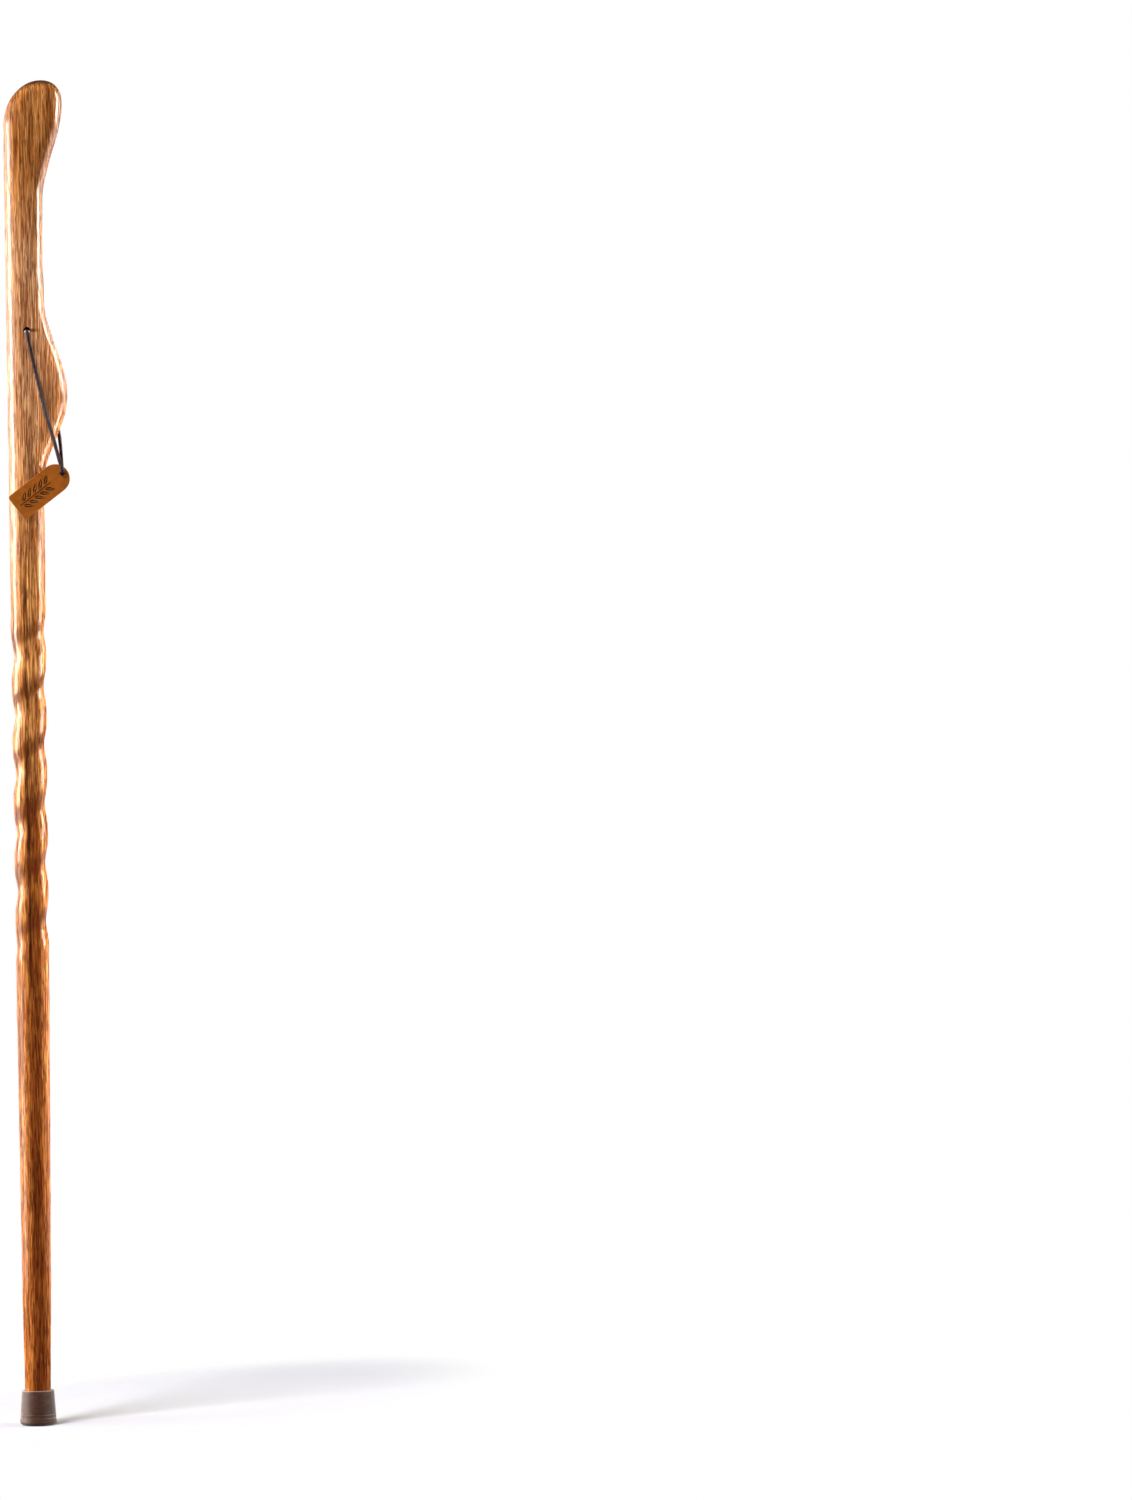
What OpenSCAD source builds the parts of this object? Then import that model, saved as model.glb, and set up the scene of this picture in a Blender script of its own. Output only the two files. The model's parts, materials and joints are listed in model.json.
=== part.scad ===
// Hiking staff carved from a single length of oak, with a push-on rubber ferrule,
// a leather lace looped through the handle and a leather tag that hangs on the lace.
// Sizes are in millimetres. The origin is the middle of the ground face, Z runs up the shaft,
// X points to the side that the head leans to, and Y points to the back of the staff.

/* [Shaft] */
// Height from the ground to the top of the head
staff_l = 1397; // [1340:1:1480]
// Diameter of the plain shaft under the handle
shaft_d = 36.6; // [33:0.1:40]
// Diameter of the shaft at the foot of the twist
twist_foot_d = 34.4; // [31:0.1:37]
// Height at which the slim lower taper begins
knee_h = 146; // [110:1:220]
// Diameter of the shaft where the slim lower taper begins
knee_d = 30; // [28:0.1:32]
// Diameter of the shaft where it enters the ferrule
mouth_d = 26.4; // [25.5:0.1:28]
// Diameter of the shaft's end inside the ferrule
foot_d = 25.4; // [23:0.1:26]

/* [Twist] */
// Height at which the carved twist begins
twist_h = 470; // [420:1:500]
// Length of the carved twist
twist_l = 390; // [320:1:430]
// Rise of the groove in one turn
twist_pitch = 61; // [50:0.5:80]
// Height above the twist's foot at which the groove first faces the leaning side
groove_rise = 53; // [0:1:60]
// Depth of the groove under the ridge
groove_depth = 3.1; // [1.5:0.1:5]
// Length over which the groove runs in and out at its ends
run_in_l = 50; // [20:1:80]
// How narrow the groove is beside its ridge
groove_narrowness = 1.6; // [1:0.1:3]

/* [Handle] */
// Thickness of the handle from front to back
handle_t = 36; // [32:0.5:40]
// Radius of the handle's long edges
handle_edge_r = 17; // [8:0.5:18]
// How far the handle's back leans out behind the shaft at the head
back_lean = 1.2; // [0:0.1:4]
// Width of the head at its fullest
head_w = 60.8; // [50:0.1:68]
// Drop from the top to the fullest part of the head
head_drop = 25; // [18:1:34]
// Drop from the top to the shoulder where the head's back starts to round over
shoulder_drop = 50; // [38:1:60]
// Distance of the highest point from the back of the head
head_top_in = 39; // [30:0.5:46]
// Height over which the front and back faces round over to the top
crown_h = 18; // [12:0.5:30]
// Fullness of the rounding at the top
crown_fullness = 2.4; // [2:0.1:3]
// Width of the grip at its waist
grip_w = 38.5; // [34:0.1:42]
// How much wider the grip is at its two ends than at its waist
grip_hollow = 0.9; // [0:0.1:3]
// Drop from the top to the upper end of the grip
grip_top_drop = 125; // [110:1:150]
// Drop from the top to the lower end of the grip
grip_foot_drop = 227; // [200:1:250]
// Width of the flare that the hand rests on
flare_w = 62.2; // [52:0.1:70]
// Drop from the top to the fullest part of the flare
flare_drop = 328; // [300:1:345]
// Drop from the top to where the flare has run out into the shaft
flare_foot_drop = 418; // [385:1:455]
// Diameter of the hole for the lace
lace_hole_d = 6.35; // [5.5:0.05:8]
// Drop from the top to the lace hole
lace_hole_drop = 261; // [255:1:268]
// Sideways place of the lace hole
lace_hole_x = 2.5; // [1.5:0.1:3.5]

/* [Ferrule] */
// Height of the ferrule
ferrule_h = 36; // [30:0.5:46]
// Diameter of the ferrule at its mouth
ferrule_top_d = 33.6; // [31:0.1:36]
// Diameter of the ferrule's rim near the ground
rim_d = 38; // [35:0.1:42]
// Height of the underside of the rim above the ground
rim_h = 0.9; // [0.6:0.1:3]
// Radius of the rim's rounded edge
rim_r = 2.6; // [1.5:0.1:3]
// How far the foot stands in from where the rim's rounding starts
tread_in = 0.2; // [0.1:0.1:4]
// Thickness of rubber under the washer
floor_t = 8; // [6:0.1:12]
// Rounding of the ferrule's mouth
mouth_r = 1; // [0.5:0.1:1.5]
// Height of the lower moulded line above the rim's underside
line_rise = 7.1; // [5:0.1:9]
// Distance between the two moulded lines
line_gap = 3.6; // [2.5:0.1:6]
// Depth and half height of a moulded line
line_depth = 0.5; // [0.2:0.1:0.8]
// Number of ring grooves in the tread
tread_grooves = 3; // [1:1:4]
// Width of a tread groove
tread_groove_w = 2; // [1:0.1:2.5]
// Depth of a tread groove
tread_groove_depth = 1.5; // [0.5:0.1:2.5]
// Thickness of the washer that the shaft stands on
washer_t = 1.6; // [1:0.1:2.5]
// Diameter of the hole in the washer
washer_hole_d = 8; // [4:0.1:12]

/* [Lace] */
// Diameter of the lace
lace_d = 3.4; // [3:0.1:3.6]
// Number of turns in the closing knot
knot_turns = 3; // [2:1:3]
// Length of the free tails at the knot
tail_l = 11; // [6:0.5:14]
// Angle of the tails below the level
tail_slope = 50; // [30:1:70]
// Angle between the two tails
tail_spread = 40; // [30:1:60]

/* [Tag] */
// Length of the tag
tag_l = 66; // [50:0.5:80]
// Width of the tag
tag_w = 30; // [24:0.5:36]
// Thickness of the tag
tag_t = 2.8; // [2:0.1:3]
// Radius of the two corners at the tail
tag_corner_r = 3; // [1:0.1:6]
// Diameter of the tag's hole
tag_hole_d = 5.5; // [5:0.1:6]
// Distance of the hole's middle from the round end
tag_hole_in = 6; // [5.5:0.1:9]
// Angle of the tag above the level, from its tail to its round end
tag_slope = 37.5; // [20:0.5:60]

/* [Hidden] */
$fn = 64;

// Overrun of every cut
over = 1;
// Room between the shaft's end and the ferrule's socket
socket_fit = 0.1;
// Room between the washer's edge and the ferrule's socket
washer_fit = 0.2;
// Room between the tag's back and the nearest wood
tag_fit = 0.7;
// Room left between the lace and the upper lip of the tag's hole
hang_fit = 0.45;
// Room left between the lace and the lower lip of its hole in the handle
lip_fit = 0.475;
// Thickness of the knot's core beside the lace
knot_core_share = 1.4;
// Step by which the turned lower shaft stays inside the carved stock at their join
join_step = 0.05;
// Spacing of the carved stock's rings
ring_step = 7.5;
// Number of rings in the rounded head
head_rings = 11;
// Number of sides of the carved stock, a multiple of four
sides = 28;
// Number of sides of the lace
lace_sides = 8;
// Number of steps in a rounded edge
edge_steps = 4;

// Grows a ring so that its flats, not its corners, lie on the true outline
flat_grow = 1 / cos(180 / sides);
lace_grow = 1 / cos(180 / lace_sides);

twist_top_z = twist_h + twist_l;
flare_foot_z = staff_l - flare_foot_drop;
flare_z = staff_l - flare_drop;
grip_foot_z = staff_l - grip_foot_drop;
grip_top_z = staff_l - grip_top_drop;
shoulder_z = staff_l - shoulder_drop;
head_z = staff_l - head_drop;
crown_z = staff_l - crown_h;
lace_hole_z = staff_l - lace_hole_drop;
shaft_end_z = floor_t + washer_t;

// Where the lace rests in its hole, on the lower lip
lace_start = [lace_hole_x, 0, lace_hole_z - (lace_hole_d - lace_d) / 2 + lip_fit];

// From the middle of the hole the lace runs down the front face and through the tag.
lace_front_points = [
    [0, 0, 0],
    [0, -9, 0],
    [0, -17, 0],
    [0.1, -20.5, -0.4],
    [0.5, -22.6, -3.2],
    [1.1, -23, -7],
    [2.5, -22.2, -15],
    [5.5, -20.9, -29],
    [9.5, -20.3, -47],
    [13.5, -20.3, -65],
    [18, -20.5, -83],
    [23, -21, -101],
    [27.5, -22.4, -118],
    [31, -24.2, -132],
    [33.1, -25.4, -139.5],
    [34.1, -25.6, -143],
    [34.5, -24.2, -146.4],
    [34.5, -22, -147],
    [34.5, -18, -147]
];

// Behind the handle it slants to the flare's edge, turns round it and comes forward to the knot.
lace_back_points = [
    [0, 0, 0],
    [0, 9, 0],
    [0, 17, 0],
    [0.2, 20.5, -0.4],
    [0.7, 22.6, -3.2],
    [1.5, 23, -7],
    [4, 22.2, -15],
    [8.5, 20.9, -29],
    [14, 20.3, -46],
    [19.5, 20.3, -63],
    [24.5, 20.5, -79],
    [29, 18.6, -91.5],
    [31.3, 13.7, -101.5],
    [32.5, 9.2, -109.5],
    [33.4, 5, -119.5],
    [34, 2.4, -129.5],
    [34.5, 0, -139],
    [34.5, -3, -144.5],
    [34.5, -5.5, -146.6],
    [34.5, -8, -147]
];

lace_front_route = [for (point = lace_front_points) lace_start + point];
lace_back_route = [for (point = lace_back_points) lace_start + point];

// The tag hangs on the lace where the lace leaves the tag's hole for the knot.
knot_front = lace_front_route[len(lace_front_route) - 1];
knot_back = lace_back_route[len(lace_back_route) - 1];
knot_l = knot_back.y - knot_front.y;
knot_turn_step = (knot_l - lace_d) / (knot_turns - 1);
knot_core_d = knot_core_share * lace_d;
tag_back_y = -max(shaft_d, handle_t) / 2 - tag_fit;
tag_hole_z = knot_front.z - (tag_hole_d - lace_d) / 2 + hang_fit;

function within(t) = min(max(t, 0), 1);
function smooth(t) = let (u = within(t)) u * u * (3 - 2 * u);
function mix(t, a, b) = a + (b - a) * t;

// One quarter of a rounded outline, from one at t = 0 to nothing at t = 1
function rounded(t, fullness) = pow(1 - pow(within(t), fullness), 1 / fullness);

function shaft_r(z) = mix(within((z - twist_h) / twist_l), twist_foot_d, shaft_d) / 2;

// How much of the handle's own section has taken over from the round shaft
function handle_share(z) = smooth((z - flare_foot_z) / (flare_z - flare_foot_z));

function back_line(z) = -shaft_r(z) - back_lean * within((z - flare_foot_z) / (shoulder_z - flare_foot_z));

// Width of the grip, which is hollowed between its two ends
function hollow_w(z) =
    let (share = within((z - grip_foot_z) / (grip_top_z - grip_foot_z)))
    grip_w + grip_hollow * (1 + cos(360 * share)) / 2;

function handle_w(z) =
    z < flare_z ? mix(handle_share(z), 2 * shaft_r(z), flare_w)
    : z < grip_top_z ? mix(smooth((z - flare_z) / (grip_foot_z - flare_z)), flare_w, hollow_w(z))
    : mix(smooth((z - grip_top_z) / (head_z - grip_top_z)), hollow_w(z), head_w);

head_top_x = back_line(shoulder_z) + head_top_in;

function back_x(z) = mix(rounded((z - shoulder_z) / shoulder_drop, 2), head_top_x, back_line(z));

function front_x(z) =
    mix(rounded((z - head_z) / head_drop, crown_fullness), head_top_x, back_line(z) + handle_w(z));

function half_t(z) =
    mix(handle_share(z), shaft_r(z), handle_t / 2) * rounded((z - crown_z) / crown_h, crown_fullness);

function run_in(z) = smooth((z - twist_h) / run_in_l) * smooth((twist_top_z - z) / run_in_l);

function groove(angle, z) =
    groove_depth * run_in(z)
    * pow((1 + cos(angle - 360 * (z - twist_h - groove_rise) / twist_pitch)) / 2, groove_narrowness);

// One ring of the carved stock: a rounded oblong in the handle, a grooved round in the twist
function stock_ring(z) =
    let (
        half_w = (front_x(z) - back_x(z)) / 2,
        middle_x = (front_x(z) + back_x(z)) / 2,
        edge_r = min(mix(handle_share(z), shaft_r(z), handle_edge_r), half_w, half_t(z))
    )
    [
        for (k = [0 : sides - 1])
            let (
                angle = (k + 0.5) * 360 / sides,
                keep = 1 - groove(angle, z) / shaft_r(z),
                x = sign(cos(angle)) * (half_w - edge_r) + edge_r * flat_grow * cos(angle),
                y = sign(sin(angle)) * (half_t(z) - edge_r) + edge_r * flat_grow * sin(angle)
            )
            [middle_x + x * keep, y * keep, z]
    ];

stock_ring_count = ceil((shoulder_z - twist_h) / ring_step);
stock_heights = concat(
    [for (i = [0 : stock_ring_count]) mix(i / stock_ring_count, twist_h, shoulder_z)],
    [for (j = [1 : head_rings - 1]) shoulder_z + shoulder_drop * sin(90 * j / head_rings)]
);

// Triangles between one ring and the next, split along the rising groove
function ring_faces(row, n) = [
    for (k = [0 : n - 1])
        let (
            low = row * n + k,
            low_next = row * n + (k + 1) % n
        )
        each [[low, low + n, low_next + n], [low, low_next + n, low_next]]
];

module carved_stock() {
    rows = len(stock_heights);
    points = [for (z = stock_heights) each stock_ring(z)];
    top = rows * sides;
    polyhedron(
        points = concat(points, [[head_top_x, 0, staff_l]]),
        faces = concat(
            [[for (k = [0 : sides - 1]) k]],
            [for (row = [0 : rows - 2]) each ring_faces(row, sides)],
            [for (k = [0 : sides - 1]) [top - sides + (k + 1) % sides, top - sides + k, top]]
        )
    );
}

module lower_shaft() {
    join_r = twist_foot_d / 2 - join_step;
    rotate_extrude()
        polygon([
            [0, shaft_end_z],
            [foot_d / 2, shaft_end_z],
            [mouth_d / 2, ferrule_h],
            [knee_d / 2, knee_h],
            [join_r, twist_h],
            [join_r, twist_h + over],
            [0, twist_h + over]
        ]);
}

module staff() {
    color([0.62, 0.4, 0.22])
        difference() {
            union() {
                carved_stock();
                lower_shaft();
            }
            translate([lace_hole_x, handle_t / 2 + over, lace_hole_z])
                rotate([90, 0, 0])
                    cylinder(d = lace_hole_d, h = handle_t + 2 * over);
        }
}

// Points of a rounded edge, turning from one angle to another
function edge(middle, r, from, to) = [
    for (i = [0 : edge_steps])
        let (angle = mix(i / edge_steps, from, to))
        [middle.x + r * cos(angle), middle.y + r * sin(angle)]
];

// Radius of the ferrule's tapered skirt at a height
function skirt_r(z) = mix((z - rim_h) / (ferrule_h - rim_h), rim_d, ferrule_top_d) / 2;

module ferrule() {
    line_heights = [rim_h + line_rise, rim_h + line_rise + line_gap];
    tread_r = rim_d / 2 - rim_r - tread_in;
    tread_ring_step = tread_r / (tread_grooves + 1);
    skirt = concat(
        [[0, 0], [tread_r, 0], [tread_r, rim_h]],
        edge([rim_d / 2 - rim_r, rim_h + rim_r], rim_r, -90, 0),
        [
            for (line_z = line_heights)
                each [
                    [skirt_r(line_z - line_depth), line_z - line_depth],
                    [skirt_r(line_z) - line_depth, line_z],
                    [skirt_r(line_z + line_depth), line_z + line_depth]
                ]
        ],
        edge([ferrule_top_d / 2 - mouth_r, ferrule_h - mouth_r], mouth_r, 0, 90),
        [
            [mouth_d / 2 + socket_fit, ferrule_h],
            [foot_d / 2 + socket_fit, shaft_end_z],
            [foot_d / 2 + socket_fit, floor_t],
            [0, floor_t]
        ]
    );
    color([0.35, 0.27, 0.24])
        difference() {
            rotate_extrude()
                polygon(skirt);
            for (i = [1 : tread_grooves])
                translate([0, 0, -over])
                    difference() {
                        cylinder(
                            r = i * tread_ring_step + tread_groove_w / 2,
                            h = over + tread_groove_depth
                        );
                        cylinder(
                            r = i * tread_ring_step - tread_groove_w / 2,
                            h = over + tread_groove_depth
                        );
                    }
        }
}

module ferrule_washer() {
    color([0.68, 0.68, 0.7])
        translate([0, 0, floor_t])
            difference() {
                cylinder(d = foot_d - 2 * washer_fit, h = washer_t);
                translate([0, 0, -over])
                    cylinder(d = washer_hole_d, h = washer_t + 2 * over);
            }
}

function unit(v) = v / norm(v);

// Direction of a route at one of its points
function heading(route, i) =
    unit(route[min(i + 1, len(route) - 1)] - route[max(i - 1, 0)]);

// One ring of the lace, square to the route
function lace_ring(route, i) =
    let (
        ahead = heading(route, i),
        side = unit(cross(ahead, [1, 0, 0])),
        up = cross(side, ahead)
    )
    [
        for (k = [0 : lace_sides - 1])
            let (angle = (k + 0.5) * 360 / lace_sides)
            route[i] + lace_d / 2 * lace_grow * (cos(angle) * side + sin(angle) * up)
    ];

module lace(route) {
    rows = len(route);
    last = (rows - 1) * lace_sides;
    color([0.16, 0.12, 0.12])
        polyhedron(
            points = [for (i = [0 : rows - 1]) each lace_ring(route, i)],
            faces = concat(
                [[for (k = [0 : lace_sides - 1]) lace_sides - 1 - k]],
                [
                    for (row = [0 : rows - 2])
                        for (face = ring_faces(row, lace_sides))
                            [face[0], face[2], face[1]]
                ],
                [[for (k = [0 : lace_sides - 1]) last + k]]
            )
        );
}

module lace_front() {
    lace(lace_front_route);
}

module lace_back() {
    lace(lace_back_route);
}

// Overhand knot that closes the loop behind the tag: turns round a core, with two tails
module lace_knot() {
    color([0.14, 0.1, 0.1])
        translate(knot_front) {
            rotate([-90, 0, 0])
                cylinder(d = knot_core_d, h = knot_l);
            for (i = [0 : knot_turns - 1])
                translate([0, lace_d / 2 + i * knot_turn_step, 0])
                    rotate([-90, 0, 0])
                        rotate_extrude()
                            translate([knot_core_d / 2, 0])
                                circle(d = lace_d);
            for (side = [-1, 1])
                translate([0, knot_l / 2 + side * knot_turn_step / 2, 0])
                    rotate([0, 180 - tail_slope - side * tail_spread / 2, 0])
                        rotate([0, 90, 0])
                            cylinder(d = lace_d, h = knot_core_d / 2 + tail_l);
        }
}

// Outline of the tag about the middle of its hole, with its round end along +X
module tag_outline() {
    round_x = tag_hole_in - tag_w / 2;
    tail_x = tag_hole_in - tag_l;
    translate([round_x, 0])
        circle(d = tag_w);
    translate([tail_x + tag_corner_r, -tag_w / 2])
        square([round_x - tail_x - tag_corner_r, tag_w]);
    translate([tail_x, tag_corner_r - tag_w / 2])
        square([round_x - tail_x, tag_w - 2 * tag_corner_r]);
    for (side = [-1, 1])
        translate([tail_x + tag_corner_r, side * (tag_w / 2 - tag_corner_r)])
            circle(r = tag_corner_r);
}

module tag() {
    color([0.72, 0.49, 0.18])
        translate([knot_front.x, tag_back_y, tag_hole_z])
            rotate([90, 0, 0])
                rotate([0, 0, tag_slope])
                    linear_extrude(tag_t)
                        difference() {
                            tag_outline();
                            circle(d = tag_hole_d);
                        }
}

staff();
ferrule();
ferrule_washer();
lace_front();
lace_back();
lace_knot();
tag();
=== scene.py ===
# %% [markdown]
# # A hiking staff carved from one length of oak
# The staff stands 1.4 metres tall. One glossy oak stick carries a swollen head, a slim grip, a flare for
# the hand and a carved twist. A brown rubber ferrule is pushed onto its foot, and a leather tag hangs from
# a lace through the handle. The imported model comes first. It is the fixed frame that every piece here is
# built on, so nothing is fitted by eye.

# %% Load the frame
import json
import math

import bpy
import bmesh
import numpy as np
from mathutils import Matrix, Vector


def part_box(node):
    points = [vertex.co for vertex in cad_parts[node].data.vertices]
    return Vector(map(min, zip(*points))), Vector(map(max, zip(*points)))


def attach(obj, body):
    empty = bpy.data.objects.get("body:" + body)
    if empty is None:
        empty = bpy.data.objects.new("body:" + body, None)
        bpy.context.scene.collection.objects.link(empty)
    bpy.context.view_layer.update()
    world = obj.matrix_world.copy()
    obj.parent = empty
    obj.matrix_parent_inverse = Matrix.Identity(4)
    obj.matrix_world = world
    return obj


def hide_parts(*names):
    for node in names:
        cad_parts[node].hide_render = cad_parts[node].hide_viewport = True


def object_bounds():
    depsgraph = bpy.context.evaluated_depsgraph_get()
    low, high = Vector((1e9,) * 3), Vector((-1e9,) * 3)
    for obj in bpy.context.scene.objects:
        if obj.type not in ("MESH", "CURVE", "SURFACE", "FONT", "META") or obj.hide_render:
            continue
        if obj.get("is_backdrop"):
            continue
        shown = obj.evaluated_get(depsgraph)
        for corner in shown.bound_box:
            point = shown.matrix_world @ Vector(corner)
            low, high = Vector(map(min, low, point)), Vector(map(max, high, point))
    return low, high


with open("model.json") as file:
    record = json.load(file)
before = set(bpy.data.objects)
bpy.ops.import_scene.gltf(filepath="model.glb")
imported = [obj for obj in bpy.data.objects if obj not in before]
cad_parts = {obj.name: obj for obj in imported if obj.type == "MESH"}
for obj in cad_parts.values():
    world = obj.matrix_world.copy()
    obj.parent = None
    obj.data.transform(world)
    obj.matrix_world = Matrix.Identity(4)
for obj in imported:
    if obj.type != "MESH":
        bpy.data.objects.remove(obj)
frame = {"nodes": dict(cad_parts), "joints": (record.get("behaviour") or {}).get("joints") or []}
cad_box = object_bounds()
print("frame:", sorted(frame["nodes"]), "height", round(cad_box[1].z, 4))

# %% [markdown]
# ## The camera
# The photograph is a studio shot from straight in front, level with the middle of the staff and almost 6
# metres away, with the staff far to the left of the picture. A shift of the lens would put it there too,
# but it would stay on when the camera moves to another side, so the camera pans to the right instead. The
# staff leans by three quarters of a degree in the picture, which a roll of the camera gives.

# %% Camera
MM = 0.001
PICTURE_W = 1132
PICTURE_H = 1500
PIXEL = 1.0393 * MM
STAFF_COLUMN = 29.9
CAMERA_DISTANCE = 5.8
CAMERA_H = 0.694
CAMERA_LEAN = math.radians(0.731)

staff_left = (PICTURE_W / 2 - STAFF_COLUMN) * PIXEL
pan = math.asin(staff_left / CAMERA_DISTANCE)
camera = bpy.data.objects.new("camera", bpy.data.cameras.new("camera"))
camera.data.lens = camera.data.sensor_width * CAMERA_DISTANCE * math.cos(pan) / (PICTURE_H * PIXEL)
level = Matrix.Rotation(math.radians(90), 4, "X")
turn = Matrix.Rotation(-pan, 4, "Z") @ level @ Matrix.Rotation(-CAMERA_LEAN, 4, "Z")
camera.matrix_world = Matrix.Translation((0, -CAMERA_DISTANCE, CAMERA_H)) @ turn
bpy.context.scene.collection.objects.link(camera)
bpy.context.scene.camera = camera
print("camera: lens", round(camera.data.lens, 1), "mm, pan", round(math.degrees(pan), 2), "degrees")

# %% [markdown]
# ## Pieces made of rings
# Stick, lace and knot are all skins over a row of closed rings, so one function turns rings into a mesh.
# Blender's curves could sweep the lace as well, but a mesh takes a square section, a slow turn and a
# slanted cut in one go.

# %% Rings to meshes
def loft(rings):
    """Points and faces of a closed skin over rings, an array of rows by sides by three."""
    rows, sides = rings.shape[:2]
    around = np.arange(sides)
    faces = [around[::-1].tolist()]
    for row in range(rows - 1):
        low = row * sides + around
        low_next = row * sides + (around + 1) % sides
        faces += np.stack([low, low_next, low_next + sides, low + sides], axis=1).tolist()
    faces.append(((rows - 1) * sides + around).tolist())
    return rings.reshape(-1, 3), faces


def make_piece(name, skins, place=Matrix.Identity(4)):
    """A smooth mesh object from one or more closed skins."""
    work = bmesh.new()
    for points, faces in skins:
        corners = [work.verts.new(point) for point in points]
        for face in faces:
            work.faces.new([corners[i] for i in face])
    bmesh.ops.recalc_face_normals(work, faces=work.faces[:])
    mesh = bpy.data.meshes.new(name)
    work.to_mesh(mesh)
    work.free()
    mesh.shade_smooth()
    piece = bpy.data.objects.new(name, mesh)
    piece.matrix_world = place
    bpy.context.scene.collection.objects.link(piece)
    return piece


def keep_edges(piece, degrees):
    """Edges sharper than this stay crisp under the smooth shading."""
    piece.data.set_sharp_from_angle(angle=math.radians(degrees))


def cut(piece, cutter):
    """Takes the cutter's shape out of a piece."""
    modifier = piece.modifiers.new("cut", "BOOLEAN")
    modifier.operation = "DIFFERENCE"
    modifier.solver = "EXACT"
    modifier.object = cutter
    whole = piece.evaluated_get(bpy.context.evaluated_depsgraph_get())
    piece.data = bpy.data.meshes.new_from_object(whole)
    piece.modifiers.clear()
    bpy.data.objects.remove(cutter)


print("helpers: loft, make_piece, keep_edges, cut")

# %% [markdown]
# ## The lace
# The lace is a square leather thong, a little over 3 mm thick. It rests on the lower lip of its hole in the
# handle. One end runs down the front and through the tag, the other goes behind the handle, round the
# flare's edge and forward to a knot behind the tag. The points are the ones that the solid lace follows, in
# metres from where it rests.

# %% Lace points
joints = {joint["name"]: joint for joint in frame["joints"]}
lace_start = np.array(joints["lace_swing"]["pos_m"])

FRONT_POINTS = [
    (0, 0, 0),
    (0, -0.009, 0),
    (0, -0.017, 0),
    (0.0001, -0.0205, -0.0004),
    (0.0005, -0.0226, -0.0032),
    (0.0011, -0.023, -0.007),
    (0.0025, -0.0222, -0.015),
    (0.0055, -0.0209, -0.029),
    (0.0095, -0.0203, -0.047),
    (0.0135, -0.0203, -0.065),
    (0.018, -0.0205, -0.083),
    (0.023, -0.021, -0.101),
    (0.0275, -0.0224, -0.118),
    (0.031, -0.0242, -0.132),
    (0.0331, -0.0254, -0.1395),
    (0.0341, -0.0256, -0.143),
    (0.0345, -0.0242, -0.1464),
    (0.0345, -0.022, -0.147),
    (0.0345, -0.018, -0.147),
]
BACK_POINTS = [
    (0, 0, 0),
    (0, 0.009, 0),
    (0, 0.017, 0),
    (0.0002, 0.0205, -0.0004),
    (0.0007, 0.0226, -0.0032),
    (0.0015, 0.023, -0.007),
    (0.004, 0.0222, -0.015),
    (0.0085, 0.0209, -0.029),
    (0.014, 0.0203, -0.046),
    (0.0195, 0.0203, -0.063),
    (0.0245, 0.0205, -0.079),
    (0.029, 0.0186, -0.0915),
    (0.0313, 0.0137, -0.1015),
    (0.0325, 0.0092, -0.1095),
    (0.0334, 0.005, -0.1195),
    (0.034, 0.0024, -0.1295),
    (0.0345, 0, -0.139),
    (0.0345, -0.003, -0.1445),
    (0.0345, -0.0055, -0.1466),
    (0.0345, -0.008, -0.147),
]
print("lace points: front", len(FRONT_POINTS), "back", len(BACK_POINTS))

# %% Lace routes
ROUTE_STEPS = 6


def smooth_route(points):
    """A smooth line through the points, which passes each one along its neighbours' direction."""
    stops = np.array([points[0], *points, points[-1]], float)
    t = np.linspace(0, 1, ROUTE_STEPS, endpoint=False)[:, None]
    line = []
    for before, start, end, after in zip(stops, stops[1:], stops[2:], stops[3:]):
        leave = (end - before) / 2
        meet = (after - start) / 2
        line.append(
            start * (2 * t**3 - 3 * t**2 + 1)
            + leave * (t**3 - 2 * t**2 + t)
            + end * (3 * t**2 - 2 * t**3)
            + meet * (t**3 - t**2)
        )
    return np.concatenate([*line, stops[-1:]])


def route_length(line):
    """Length along a row of points, in metres."""
    return float(np.linalg.norm(np.diff(line, axis=0), axis=1).sum())


front_line = lace_start + smooth_route(FRONT_POINTS)
back_line = lace_start + smooth_route(BACK_POINTS)
print("lace: front", round(route_length(front_line), 4), "m, back", round(route_length(back_line), 4), "m")

# %% [markdown]
# A thong is cut from hide, so its section is square with soft corners, it is never quite even, and it turns
# slowly along its length. The section is a superellipse, which goes from round to square with one exponent.

# %% Thong
THONG_HALF = 1.68 * MM
THONG_SQUARENESS = 5
THONG_SIDES = 20
THONG_UNEVEN = 0.035
THONG_WAVE = 17 * MM
THONG_WAVE_TURNS = (2 * math.pi, 3.3)
THONG_FIRST_UP = (0.31, 0.22, 0.93)
THONG_CREASE = 60
FRONT_TURNS = 0.3
BACK_TURNS = -0.35


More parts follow.
